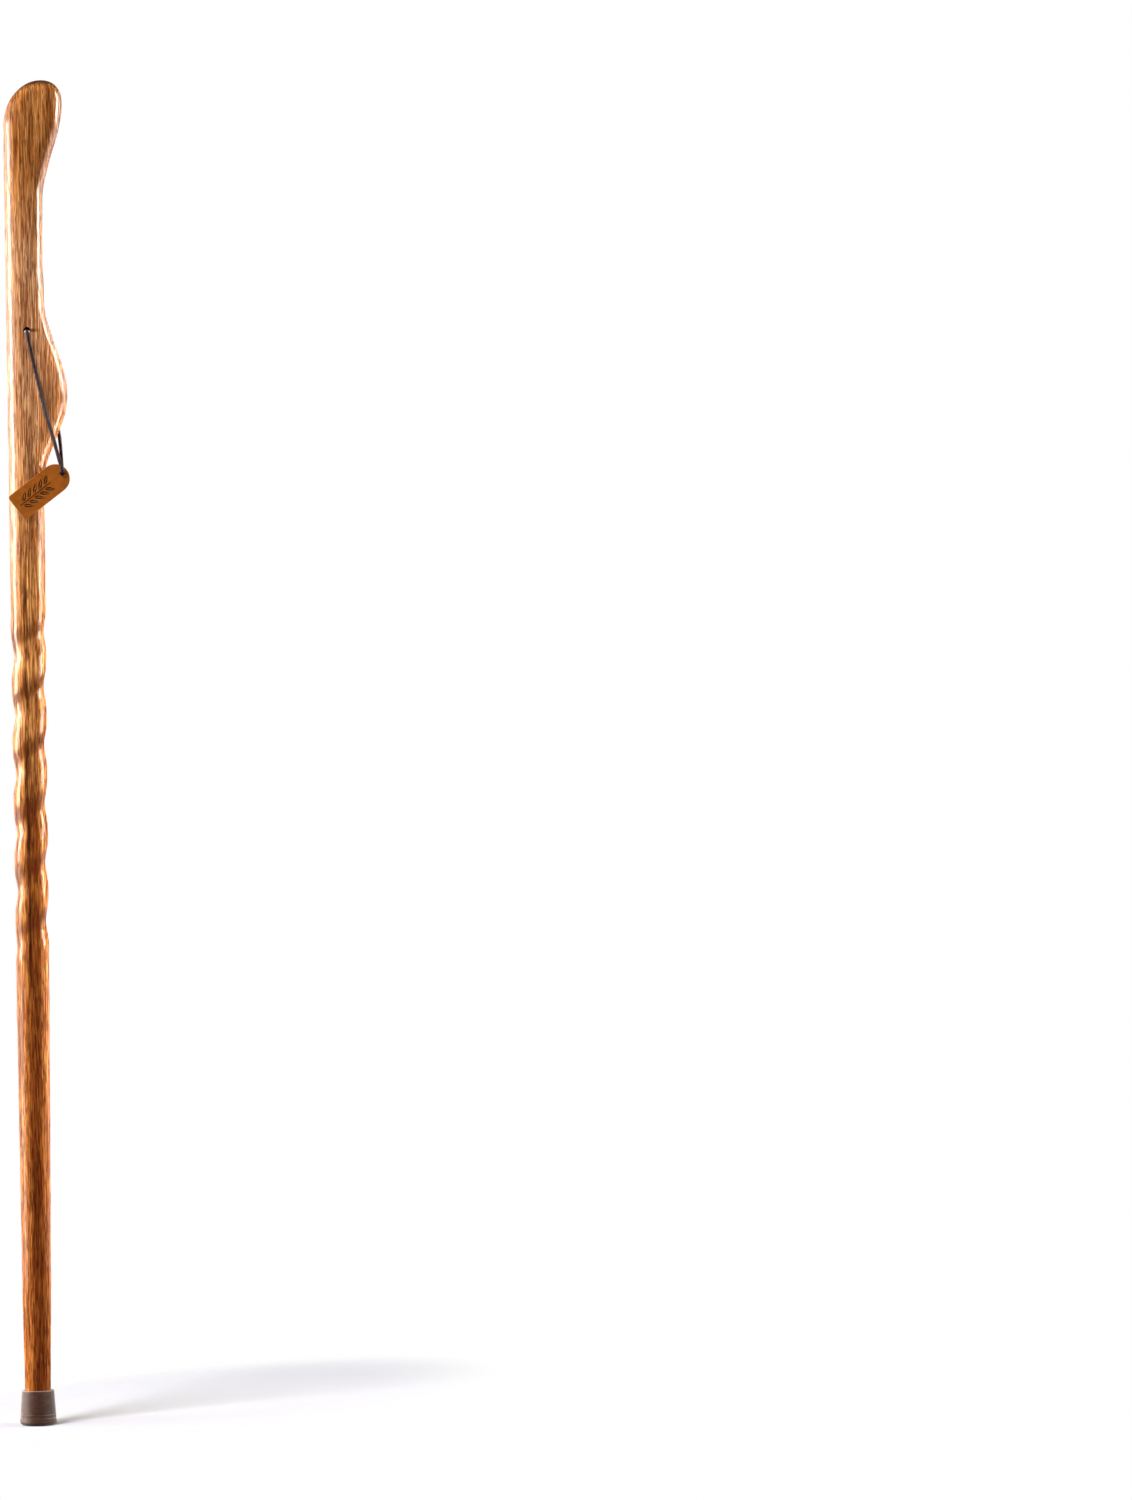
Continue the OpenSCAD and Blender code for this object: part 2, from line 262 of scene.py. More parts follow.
def thong(line, turns=0.0, cut_slant=0.0, half_w=THONG_HALF):
    """Skin of a square thong along a line. It turns about itself, and its last end may be cut at a slant."""
    ahead = np.gradient(line, axis=0)
    ahead /= np.linalg.norm(ahead, axis=1, keepdims=True)
    side = np.zeros_like(ahead)
    side[0] = np.cross(ahead[0], THONG_FIRST_UP)
    for i in range(len(line)):
        start = side[max(i - 1, 0)]
        side[i] = start - ahead[i] * (start @ ahead[i])
        side[i] /= np.linalg.norm(side[i])
    up = np.cross(ahead, side)
    run = np.concatenate([[0], np.cumsum(np.linalg.norm(np.diff(line, axis=0), axis=1))])
    angle = (np.arange(THONG_SIDES) + 0.5) * 2 * math.pi / THONG_SIDES
    square = np.abs(np.cos(angle)) ** THONG_SQUARENESS + np.abs(np.sin(angle)) ** THONG_SQUARENESS
    half = half_w * square ** (-1 / THONG_SQUARENESS)
    waves = sum(np.sin(run / THONG_WAVE * turn) for turn in THONG_WAVE_TURNS)
    uneven = 1 + THONG_UNEVEN * waves / 2
    facing = angle[None, :] + (turns * 2 * math.pi * run / run[-1])[:, None]
    across = np.cos(facing)[..., None] * side[:, None] + np.sin(facing)[..., None] * up[:, None]
    rings = line[:, None] + across * (half[None, :] * uneven[:, None])[..., None]
    rings[-1] += ahead[-1] * (np.sin(angle) * half * cut_slant)[:, None]
    return loft(rings)


front_thong = make_piece("front_thong", [thong(front_line, turns=FRONT_TURNS)])
back_thong = make_piece("back_thong", [thong(back_line, turns=BACK_TURNS)])
for piece in (front_thong, back_thong):
    keep_edges(piece, THONG_CREASE)
    print(piece.name, len(piece.data.polygons), "faces")

# %% [markdown]
# The knot that closes the loop sits behind the tag. It has three turns round the thong's own core, and its
# two tails hang to the lower left. A helix gives the turns, and each tail droops a little under its own
# weight.

# %% Knot
KNOT_TURNS = 3
KNOT_COIL_R = 2.45 * MM
KNOT_THONG_HALF = 1.45 * MM
KNOT_STEPS = 22
CORE_STEPS = 6
TAIL_L = 13 * MM
TAIL_STEPS = 12
TAIL_ANGLES = (-150, -110)
TAIL_SHARES = (0.335, 0.665)
TAIL_DROOP = 0.9 * MM
TAIL_SLANT = 0.6

knot_front = front_line[-1]
knot_back = back_line[-1]
coil_share = np.linspace(0, 1, KNOT_TURNS * KNOT_STEPS)
coil_angle = coil_share * KNOT_TURNS * 2 * math.pi
coil_inset = KNOT_THONG_HALF / np.linalg.norm(knot_back - knot_front)
coil_line = knot_front + np.outer(coil_inset + coil_share * (1 - 2 * coil_inset), knot_back - knot_front)
coil_line += KNOT_COIL_R * np.stack([np.cos(coil_angle), 0 * coil_angle, np.sin(coil_angle)], axis=1)
core_line = np.linspace(knot_front, knot_back, CORE_STEPS)


def tail_line(angle, share):
    """A free end that leaves the knot at an angle to the level."""
    reach = np.linspace(0, 1, TAIL_STEPS)[:, None]
    heading = np.array([math.cos(math.radians(angle)), 0, math.sin(math.radians(angle))])
    start = knot_front + (knot_back - knot_front) * share
    return start + reach * TAIL_L * heading - np.array([0, 0, TAIL_DROOP]) * reach**2


tails = [
    thong(tail_line(*tail), cut_slant=TAIL_SLANT, half_w=KNOT_THONG_HALF)
    for tail in zip(TAIL_ANGLES, TAIL_SHARES)
]
turns_and_core = [thong(line, half_w=KNOT_THONG_HALF) for line in (coil_line, core_line)]
thong_knot = make_piece("thong_knot", [*turns_and_core, *tails])
keep_edges(thong_knot, THONG_CREASE)
print(thong_knot.name, len(thong_knot.data.polygons), "faces")

# %% [markdown]
# ## The oak stick
# Head, grip, flare, twist and lower shaft are one piece of wood, shaped on a copy lathe and carved. The
# carved stock is a rounded oblong in the handle and a grooved round in the twist, so a ring is worked out
# at each height from a few outlines. The sizes are those of the solid, and the rings are closer, so the
# varnish shows smooth reflections.

# %% Shaft sizes
STAFF_L = cad_box[1].z
SHAFT_END_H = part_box("staff")[0].z
FERRULE_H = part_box("ferrule")[1].z
KNEE_H = 146 * MM
TWIST_H = 470 * MM
TWIST_L = 390 * MM
TWIST_TOP_H = TWIST_H + TWIST_L
TWIST_PITCH = 61 * MM
GROOVE_RISE = 53 * MM
GROOVE_DEPTH = 3.1 * MM
GROOVE_NARROWNESS = 1.6
RUN_IN_L = 50 * MM
FOOT_D = 25.4 * MM
MOUTH_D = 26.4 * MM
KNEE_D = 30 * MM
TWIST_FOOT_D = 34.4 * MM
SHAFT_D = 36.6 * MM
SHAFT_HEIGHTS = [SHAFT_END_H, FERRULE_H, KNEE_H, TWIST_H, TWIST_TOP_H]
SHAFT_WIDTHS = [FOOT_D, MOUTH_D, KNEE_D, TWIST_FOOT_D, SHAFT_D]
print("stick: from", round(SHAFT_END_H, 4), "to", round(STAFF_L, 4), "m")

# %% Handle sizes
HANDLE_T = 36 * MM
HANDLE_EDGE_R = 17 * MM
BACK_LEAN = 1.2 * MM
HEAD_W = 60.8 * MM
HEAD_DROP = 25 * MM
HEAD_TOP_IN = 39 * MM
CROWN_H = 18 * MM
CROWN_FULLNESS = 2.4
SHOULDER_DROP = 50 * MM
GRIP_W = 38.5 * MM
GRIP_HOLLOW = 0.9 * MM
GRIP_TOP_DROP = 125 * MM
GRIP_FOOT_DROP = 227 * MM
FLARE_W = 62.2 * MM
FLARE_DROP = 328 * MM
FLARE_FOOT_DROP = 418 * MM
HEAD_H = STAFF_L - HEAD_DROP
SHOULDER_H = STAFF_L - SHOULDER_DROP
GRIP_TOP_H = STAFF_L - GRIP_TOP_DROP
GRIP_FOOT_H = STAFF_L - GRIP_FOOT_DROP
FLARE_H = STAFF_L - FLARE_DROP
FLARE_FOOT_H = STAFF_L - FLARE_FOOT_DROP
print("handle: from", round(FLARE_FOOT_H, 4), "m up")

# %% Stick outlines
def smooth(t):
    """An ease from nothing to one that starts and ends level."""
    t = np.clip(t, 0, 1)
    return t * t * (3 - 2 * t)


def between(t, a, b):
    """The value at a share of the way from a to b."""
    return a + (b - a) * t


def rounded(t, fullness):
    """One quarter of a rounded outline, from one at the start to nothing at the end."""
    return (1 - np.clip(t, 0, 1) ** fullness) ** (1 / fullness)


def shaft_r(z):
    """Radius of the round shaft at a height."""
    return np.interp(z, SHAFT_HEIGHTS, SHAFT_WIDTHS) / 2


def handle_share(z):
    """Nothing on the round shaft, one from the flare upwards."""
    return smooth((z - FLARE_FOOT_H) / (FLARE_H - FLARE_FOOT_H))


def back_edge(z):
    """Where the straight left side of the stick lies."""
    lean = np.clip((z - FLARE_FOOT_H) / (SHOULDER_H - FLARE_FOOT_H), 0, 1)
    return -shaft_r(z) - BACK_LEAN * lean


def hollow_w(z):
    """Width of the grip, which is slimmest in its middle."""
    share = np.clip((z - GRIP_FOOT_H) / (GRIP_TOP_H - GRIP_FOOT_H), 0, 1)
    return GRIP_W + GRIP_HOLLOW * (1 + np.cos(2 * math.pi * share)) / 2


def handle_w(z):
    """Width of the stick from the shaft over the flare and the grip to the head."""
    swelling = between(handle_share(z), 2 * shaft_r(z), FLARE_W)
    waist = between(smooth((z - FLARE_H) / (GRIP_FOOT_H - FLARE_H)), FLARE_W, hollow_w(z))
    head = between(smooth((z - GRIP_TOP_H) / (HEAD_H - GRIP_TOP_H)), hollow_w(z), HEAD_W)
    return np.where(z < FLARE_H, swelling, np.where(z < GRIP_TOP_H, waist, head))


head_top_x = float(back_edge(np.array(SHOULDER_H))) + HEAD_TOP_IN
print("head: highest point at x", round(head_top_x / MM, 1), "mm")

# %% [markdown]
# A hand-finished stick is never ruled straight. A few long, shallow waves, a tenth of a millimetre deep,
# stand for the sanding, and they make the reflections waver as they do on the real varnish. The groove of
# the twist is a wave that climbs round the stick and runs in and out softly at its ends.

# %% Oak stick
STICK_SIDES = 96
SHAFT_RINGS = 60
TWIST_RINGS = 160
HANDLE_RINGS = 130
HEAD_RINGS = 40
SANDING_DEPTH = 0.11 * MM
# Each wave: how often it goes round the stick, its length in millimetres, where it starts.
SANDING_WAVES = ((3, 41, 0.3), (2, 67, 1.9), (5, 29, 4.1), (4, 97, 2.6))


def groove(angle, z):
    """Depth of the carved groove at an angle and a height."""
    run_in = smooth((z - TWIST_H) / RUN_IN_L) * smooth((TWIST_TOP_H - z) / RUN_IN_L)
    climb = 2 * math.pi * (z - TWIST_H - GROOVE_RISE) / TWIST_PITCH
    return GROOVE_DEPTH * run_in * ((1 + np.cos(angle - climb)) / 2) ** GROOVE_NARROWNESS


def sanding(angle, z):
    """Depth of the waves that sanding leaves."""
    waves = [
        np.sin(times * angle + 2 * math.pi * z / (length * MM) + start)
        for times, length, start in SANDING_WAVES
    ]
    return SANDING_DEPTH * sum(waves) / 2


def stick_rings(z):
    """A ring of the stick's skin at each height."""
    z = z[:, None]
    angle = (np.arange(STICK_SIDES) + 0.5)[None, :] * 2 * math.pi / STICK_SIDES
    back_x = between(rounded((z - SHOULDER_H) / SHOULDER_DROP, 2), head_top_x, back_edge(z))
    front_round = rounded((z - HEAD_H) / HEAD_DROP, CROWN_FULLNESS)
    front_x = between(front_round, head_top_x, back_edge(z) + handle_w(z))
    half_w = (front_x - back_x) / 2
    crown = rounded((z - STAFF_L + CROWN_H) / CROWN_H, CROWN_FULLNESS)
    half_t = between(handle_share(z), shaft_r(z), HANDLE_T / 2) * crown
    edge_r = between(handle_share(z), shaft_r(z), HANDLE_EDGE_R)
    edge_r = np.minimum(edge_r, np.minimum(half_w, half_t))
    keep = 1 - (groove(angle, z) + sanding(angle, z) * crown) / shaft_r(z)
    x = np.sign(np.cos(angle)) * (half_w - edge_r) + edge_r * np.cos(angle)
    y = np.sign(np.sin(angle)) * (half_t - edge_r) + edge_r * np.sin(angle)
    return np.stack([(front_x + back_x) / 2 + x * keep, y * keep, z + 0 * x], axis=2)


stick_heights = np.concatenate([
    np.linspace(SHAFT_END_H, TWIST_H, SHAFT_RINGS, endpoint=False),
    np.linspace(TWIST_H, TWIST_TOP_H, TWIST_RINGS, endpoint=False),
    np.linspace(TWIST_TOP_H, SHOULDER_H, HANDLE_RINGS, endpoint=False),
    SHOULDER_H + SHOULDER_DROP * np.sin(np.linspace(0, math.pi / 2, HEAD_RINGS, endpoint=False)),
])
oak_staff = make_piece("oak_staff", [loft(stick_rings(stick_heights))])
print(oak_staff.name, len(oak_staff.data.polygons), "faces")

# %% [markdown]
# The lace hole is drilled from front to back and its mouths are eased, so that the leather isn't cut. The
# cutter is a turned shape, a long pin with a small flare at each end, and a boolean takes it out of the
# wood.

# %% Lace hole
LACE_HOLE_D = 6.35 * MM
LACE_HOLE_X = 2.5 * MM
LACE_HOLE_DROP = 261 * MM
LACE_HOLE_H = STAFF_L - LACE_HOLE_DROP
HOLE_EASE = 0.5 * MM
HOLE_EASE_L = 1 * MM
HOLE_BEND_R = 0.15 * MM
HOLE_BEND_L = 0.35 * MM
HOLE_OVERRUN = 2 * MM
HOLE_SIDES = 48
STICK_CREASE = 35


def turned(profile, sides, axis="Z"):
    """Skin of a turned piece: rings of the profile's radii along an axis."""
    angle = np.arange(sides) * 2 * math.pi / sides
    radius = np.array([r for r, _ in profile])[:, None]
    along = np.array([h for _, h in profile])[:, None] + 0 * angle
    round_x, round_y = radius * np.cos(angle), radius * np.sin(angle)
    order = [round_x, round_y, along] if axis == "Z" else [round_x, along, -round_y]
    return loft(np.stack(order, axis=2))


hole_r = LACE_HOLE_D / 2
hole_mouth = HANDLE_T / 2
hole_profile = [
    (hole_r + HOLE_EASE + HOLE_OVERRUN, -hole_mouth - HOLE_OVERRUN),
    (hole_r + HOLE_EASE, -hole_mouth),
    (hole_r + HOLE_BEND_R, -hole_mouth + HOLE_BEND_L),
    (hole_r, -hole_mouth + HOLE_EASE_L),
]
hole_profile += [(r, -y) for r, y in reversed(hole_profile)]
hole_place = Matrix.Translation((LACE_HOLE_X, 0, LACE_HOLE_H))
cut(oak_staff, make_piece("hole_cutter", [turned(hole_profile, HOLE_SIDES, axis="Y")], hole_place))
keep_edges(oak_staff, STICK_CREASE)
print("lace hole: cut at height", round(LACE_HOLE_H, 4), "m")

# %% [markdown]
# ## The tag
# The tag is die-cut from thick leather: one round end with a punched hole, two small corners at the tail,
# and burnished edges. A plain sprig of leaves is pressed into its face and stained dark. The plate is
# lofted from shrinking outlines, which rounds its edges. The pressed leaves are real recesses, because
# light catches their edges.

# %% Tag sizes
TAG_L = 66 * MM
TAG_W = 30 * MM
TAG_T = 2.8 * MM
TAG_CORNER_R = 3 * MM
TAG_HOLE_D = 5.5 * MM
TAG_HOLE_IN = 6 * MM
TAG_SLOPE = math.radians(37.5)
TAG_EDGE_R = 0.55 * MM
TAG_EDGE_STEPS = 5
PUNCH_EASE = 0.5 * MM
PUNCH_SIDES = 40
LACE_D = 3.4 * MM
HANG_FIT = 0.45 * MM
ARC_STEPS = 24

tag_hole = Vector(knot_front)
tag_hole.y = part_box("tag")[1].y
tag_hole.z += HANG_FIT - (TAG_HOLE_D - LACE_D) / 2
tag_upright = Matrix.Translation(tag_hole) @ Matrix.Rotation(math.radians(90), 4, "X")
tag_slope = Matrix.Rotation(TAG_SLOPE, 4, "Z")
tag_place = tag_upright @ tag_slope
print("tag: hangs at", [round(c, 4) for c in tag_hole])

# %% Tag plate
def arc(middle, radius, first, last, steps=ARC_STEPS):
    """Points along an arc between two angles in degrees."""
    angle = np.radians(np.linspace(first, last, steps))
    return np.stack([middle[0] + radius * np.cos(angle), middle[1] + radius * np.sin(angle)], axis=1)


def tag_ring(inset, height):
    """The tag's outline about its hole, drawn in by an inset, at a height above its back."""
    corner = TAG_W / 2 - TAG_CORNER_R
    tail = TAG_HOLE_IN - TAG_L + TAG_CORNER_R
    outline = np.concatenate([
        arc((TAG_HOLE_IN - TAG_W / 2, 0), TAG_W / 2 - inset, -90, 90),
        arc((tail, corner), TAG_CORNER_R - inset, 90, 180),
        arc((tail, -corner), TAG_CORNER_R - inset, 180, 270),
    ])
    return np.column_stack([outline, np.full(len(outline), height)])


edge_turn = np.linspace(0, math.pi / 2, TAG_EDGE_STEPS)
edge_in = TAG_EDGE_R * (1 - np.sin(edge_turn))
edge_up = TAG_EDGE_R * (1 - np.cos(edge_turn))
tag_rings = [tag_ring(inset, height) for inset, height in zip(edge_in, edge_up)]
tag_rings += [tag_ring(inset, TAG_T - height) for inset, height in zip(edge_in[::-1], edge_up[::-1])]
leather_tag = make_piece("leather_tag", [loft(np.array(tag_rings))], tag_place)

punch_r = TAG_HOLE_D / 2
punch = [
    (punch_r + PUNCH_EASE, -PUNCH_EASE),
    (punch_r, PUNCH_EASE),
    (punch_r, TAG_T - PUNCH_EASE),
    (punch_r + PUNCH_EASE, TAG_T + PUNCH_EASE),
]
cut(leather_tag, make_piece("punch", [turned(punch, PUNCH_SIDES)], tag_place))
print(leather_tag.name, len(leather_tag.data.polygons), "faces with its hole")

# %% [markdown]
# The sprig has one stem and five pairs of leaves, each in two halves with a rib left standing between them.
# Every recess is cut by a small plug that narrows towards its floor, as a stamp does so that it comes out
# of the leather.

# %% Sprig sizes
PRESS_DEPTH = 0.4 * MM
PRESS_DRAFT = 0.12 * MM
STEM_FROM = -55 * MM
STEM_TO = -15 * MM
STEM_HALF = 0.55 * MM
LEAF_PAIRS = 5
LEAF_L = 12 * MM
LEAF_HALF = 1.9 * MM
LEAF_RIB = 0.22 * MM
LEAF_ANGLE = math.radians(42)
LEAF_ENDS = (0.03, 0.97)
LEAF_STEPS = 11
LEAF_BELLY = 0.8
FIRST_LEAF = 0.35
LAST_LEAF = 0.4
LEAF_STAGGER = 1.2 * MM
LEAF_OFF_STEM = 1.1 * MM
TAG_CREASE = 32
print("sprig:", LEAF_PAIRS, "pairs of leaves,", PRESS_DEPTH / MM, "mm deep")

# %% Pressed sprig
def pressed(outline):
    """Cutter for a recess: the outline narrows by the draft towards its floor."""
    out = outline - outline.mean(axis=0)
    out /= np.linalg.norm(out, axis=1, keepdims=True)
    levels = (
        (outline - out * PRESS_DRAFT, TAG_T - PRESS_DEPTH),
        (outline, TAG_T),
        (outline + out * PRESS_DRAFT, TAG_T + PRESS_DEPTH),
    )
    return loft(np.array([np.column_stack([ring, np.full(len(ring), height)]) for ring, height in levels]))


def half_leaf(base, angle, side):
    """Half a pointed leaf, on one side of its rib."""
    t = np.linspace(*LEAF_ENDS, LEAF_STEPS)
    blade = LEAF_HALF * np.sin(math.pi * t**LEAF_BELLY)
    along = np.concatenate([t, t[::-1]]) * LEAF_L
    across = side * np.concatenate([np.full(len(t), LEAF_RIB), LEAF_RIB + blade[::-1]])
    c, s = math.cos(angle), math.sin(angle)
    return np.stack([base[0] + along * c - across * s, base[1] + along * s + across * c], axis=1)


stem_ends = [arc((STEM_TO, 0), STEM_HALF, -90, 90), arc((STEM_FROM, 0), STEM_HALF, 90, 270)]
recesses = [pressed(np.concatenate(stem_ends))]
for pair in range(LEAF_PAIRS):
    root = between((pair + FIRST_LEAF) / LEAF_PAIRS, STEM_FROM, STEM_TO - LEAF_L * LAST_LEAF)
    for side in (-1, 1):
        base = (root + (side + 1) * LEAF_STAGGER, side * LEAF_OFF_STEM)
        recesses += [pressed(half_leaf(base, side * LEAF_ANGLE, half)) for half in (-1, 1)]
cut(leather_tag, make_piece("sprig_cutter", recesses, tag_place))
leather_tag.data.transform(tag_slope)
leather_tag.matrix_world = tag_upright
keep_edges(leather_tag, TAG_CREASE)
leather_tag.modifiers.new("flat faces stay flat", "WEIGHTED_NORMAL").keep_sharp = True
print(leather_tag.name, len(recesses), "recesses,", len(leather_tag.data.polygons), "faces")

# %% [markdown]
# ## The ferrule
# The ferrule is moulded rubber: a skirt that widens to a rim, a narrower foot with ring grooves for grip,
# and two fine lines near the rim. It is a turned shape, so one profile says it all. Arcs round its mouth
# and its rim.

# %% Ferrule sizes
FERRULE_TOP_D = 33.6 * MM
RIM_D = 38 * MM
RIM_H = 0.9 * MM
RIM_R = 2.6 * MM
TREAD_IN = 0.2 * MM
TREAD_EDGE_R = 0.4 * MM
TREAD_GROOVES = 3
TREAD_GROOVE_W = 2 * MM
TREAD_GROOVE_DEPTH = 1.5 * MM
FLOOR_T = 8 * MM
MOUTH_R = 1 * MM
LIP_R = 0.5 * MM
SOCKET_FIT = 0.1 * MM
LINE_HEIGHTS = (8 * MM, 11.6 * MM)
LINE_DEPTH = 0.45 * MM
MIDDLE_R = 0.5 * MM
BEND_STEPS = 7
FERRULE_SIDES = 128
FERRULE_CREASE = 40
print("ferrule:", round(FERRULE_H / MM, 1), "mm tall,", RIM_D / MM, "mm wide")

# %% Ferrule
def bend(middle, radius, first, last):
    """Rounds a profile along a short arc."""
    return arc(middle, radius, first, last, BEND_STEPS).tolist()


def skirt_r(z):
    """Radius of the sloping skirt at a height."""
    return between((z - RIM_H) / (FERRULE_H - RIM_H), RIM_D, FERRULE_TOP_D) / 2


tread = []
tread_r = RIM_D / 2 - RIM_R - TREAD_IN
groove_step = tread_r / (TREAD_GROOVES + 1)
for ring in range(1, TREAD_GROOVES + 1):
    inner, outer = ring * groove_step - TREAD_GROOVE_W / 2, ring * groove_step + TREAD_GROOVE_W / 2
    tread += [(inner, 0), (inner, TREAD_GROOVE_DEPTH), (outer, TREAD_GROOVE_DEPTH), (outer, 0)]
lines = []
for height in LINE_HEIGHTS:
    low, high = height - LINE_DEPTH, height + LINE_DEPTH
    lines += [(skirt_r(low), low), (skirt_r(height) - LINE_DEPTH, height), (skirt_r(high), high)]
ferrule_profile = [
    (MIDDLE_R, 0),
    *tread,
    *bend((tread_r - TREAD_EDGE_R, TREAD_EDGE_R), TREAD_EDGE_R, -90, 0),
    (tread_r, RIM_H),
    *bend((RIM_D / 2 - RIM_R, RIM_H + RIM_R), RIM_R, -90, 0),
    *lines,
    *bend((FERRULE_TOP_D / 2 - MOUTH_R, FERRULE_H - MOUTH_R), MOUTH_R, 0, 90),
    *bend((MOUTH_D / 2 + SOCKET_FIT + LIP_R, FERRULE_H - LIP_R), LIP_R, 90, 180),
    (FOOT_D / 2 + SOCKET_FIT, SHAFT_END_H),
    (FOOT_D / 2 + SOCKET_FIT, FLOOR_T),
    (MIDDLE_R, FLOOR_T),
]
rubber_ferrule = make_piece("rubber_ferrule", [turned(ferrule_profile, FERRULE_SIDES)])
keep_edges(rubber_ferrule, FERRULE_CREASE)
rubber_ferrule.modifiers.new("flat faces stay flat", "WEIGHTED_NORMAL").keep_sharp = True
print(rubber_ferrule.name, len(rubber_ferrule.data.polygons), "faces")

# %% [markdown]
# ## Finishes as sums
# A finish is a small formula over the surface: so much pore here, so much gloss there. Node graphs hide
# that formula, so a wire is wrapped in a class whose operators add Math nodes. Then 1 - pores reads as what
# it means. Colours go through Mix nodes, because Math nodes would turn them grey, and every other node
# comes from one method.

# %% Shader sums
def plug(place, value):
    """Links a wire to a socket, or sets the socket's own value."""
    if isinstance(value, Wire):
        place.id_data.links.new(value.socket, place)
    else:
        place.default_value = value


class Wire:
    """One output of a node. Sums on wires add Math nodes to the same shader."""

    def __init__(self, socket):
        self.socket = socket

    def math(self, operation, *values):
        """Adds a Math node to the shader that this wire is in."""
        node = self.socket.id_data.nodes.new("ShaderNodeMath")
        node.operation = operation
        for place, value in zip(node.inputs, values):
            plug(place, value)
        return Wire(node.outputs[0])

    def __add__(self, other):
        return self.math("ADD", self, other)

    def __sub__(self, other):
        return self.math("SUBTRACT", self, other)

    def __rsub__(self, other):
        return self.math("SUBTRACT", other, self)

    def __mul__(self, other):
        return self.math("MULTIPLY", self, other)

    def __pow__(self, other):
        return self.math("POWER", self, other)

    def __rpow__(self, other):
        return self.math("POWER", other, self)

    __radd__ = __add__
    __rmul__ = __mul__

    def fraction(self):
        return self.math("FRACT", self)

    def absolute(self):
        return self.math("ABSOLUTE", self)

    def greater(self, other):
        return self.math("MAXIMUM", self, other)


print("sums: wires take + - * ** and their reflected forms")

# %% [markdown]
# A shader is a tree that nodes are added to. The same few patterns come back in wood, leather and rubber:
# soft noise, scattered cells, an ease between two levels and a mix of two colours. Each gets a short
# method, and sizes are given in metres, so that a pore or a pebble has its real size on every piece.

# %% Shaders
class Shader:
    """A node tree that nodes are added to."""

    def __init__(self, tree):
        self.tree = tree

    def node(self, kind, settings=None, output=0, **sockets):
        """Adds a node: settings first, then values or wires for its sockets. Gives one of its outputs."""
        node = self.tree.nodes.new("ShaderNode" + kind)
        for name, value in (settings or {}).items():
            setattr(node, name, value)
        for name, value in sockets.items():
            plug(next(s for s in node.inputs if name in (s.identifier, s.name.replace(" ", "_"))), value)
        outputs = {s.identifier: s for s in node.outputs}
        return Wire(outputs[output] if output in outputs else node.outputs[output])

    def rise(self, value, low, high):
        """An ease from nothing at low to one at high."""
        ease = {"interpolation_type": "SMOOTHSTEP"}
        return self.node("MapRange", ease, Value=value, From_Min=low, From_Max=high)

    def blend(self, share, first, second, way="MIX"):
        """A colour between two colours, or the first one tinted by the second."""
        kind = {"data_type": "RGBA", "blend_type": way}
        return self.node("Mix", kind, "Result_Color", Factor_Float=share, A_Color=first, B_Color=second)

    def axis(self, vector, letter):
        """One coordinate of a vector."""
        return self.node("SeparateXYZ", Vector=vector, output=letter)

    def vector(self, operation, output=0, **sockets):
        """A sum on vectors."""
        return self.node("VectorMath", {"operation": operation}, output, **sockets)

    def stretch(self, place, size):
        """Coordinates in which a cell of this size, in metres, is one unit."""
        return self.vector("MULTIPLY", Vector=place, Vector_001=[1 / length for length in size])

    def mottle(self, place, size, detail=2.0, output=0):
        """Soft noise whose patches have this size."""
        spot = self.stretch(place, size)
        return self.node("TexNoise", output=output, Vector=spot, Scale=1.0, Detail=detail)

    def cells(self, place, size):
        """Distance to the nearest of many scattered points, which lie about this size apart."""
        return self.node("TexVoronoi", output="Distance", Vector=self.stretch(place, size), Scale=1.0)


print("shader: node, rise, blend, axis, vector, stretch, mottle, cells")

# %% Finishes
class Finish(Shader):
    """A material with one Principled shader."""

    def __init__(self, name, **constants):
        self.material = bpy.data.materials.new(name)
        self.material.use_nodes = True
        super().__init__(self.material.node_tree)
        self.place = self.node("TexCoord", output="Object")
        self.dress(**constants)

    def dress(self, **sockets):
        """Sets or links the Principled shader's own sockets."""
        shader = self.tree.nodes["Principled BSDF"]
        for name, value in sockets.items():
            plug(shader.inputs[name.replace("_", " ")], value)

    def bump(self, height, depth):
        """Bumps of this depth in metres, where the height is one."""
        self.dress(Normal=self.node("Bump", Strength=1.0, Distance=depth, Height=height))

    def cover(self, *pieces):
        """Puts the finish on pieces."""
        for piece in pieces:
            piece.data.materials.append(self.material)
        print(self.material.name, "on", [piece.name for piece in pieces], len(self.tree.nodes), "nodes")


def paint(red, green, blue):
    """A colour as a screen shows it, turned into linear light."""
    def linear(c):
        return c / 12.92 if c <= 0.04045 else ((c + 0.055) / 1.055) ** 2.4
    return (*(linear(c / 255) for c in (red, green, blue)), 1.0)


def mm(*lengths):
    """Lengths in millimetres as metres."""
    return tuple(length * MM for length in lengths)


print("finish: dress, bump, cover; helpers paint and mm")

# %% [markdown]
# ## Oak under varnish
# Oak has wide pores that lie in rings and run along the trunk, so they show as dark dashes on the long
# faces and as dots on end grain. An image of boards would slide over the carving. Here the grain is a solid
# pattern in space, and the twist cuts through it as a chisel does, which draws the loops on its sides by
# itself. The rings stand round a pith far to the left of the stick, because it is sawn from the outer part
# of a trunk.

# %% Oak growth rings
PITH_X, PITH_Y = mm(-260, 40)
RING_W = 1.3 * MM
RING_DRIFT = 1.4
RING_DRIFT_SIZE = mm(30, 30, 220)
WANDER = 2.2 * MM
WANDER_SIZE = mm(45, 45, 170)
EARLY_FADE = (0.08, 0.45)
LATE_FADE = (0.0, 0.14)
RING_BREAK_SIZE = mm(1.6, 7, 32)
RING_BREAK_RANGE = (0.32, 0.6)

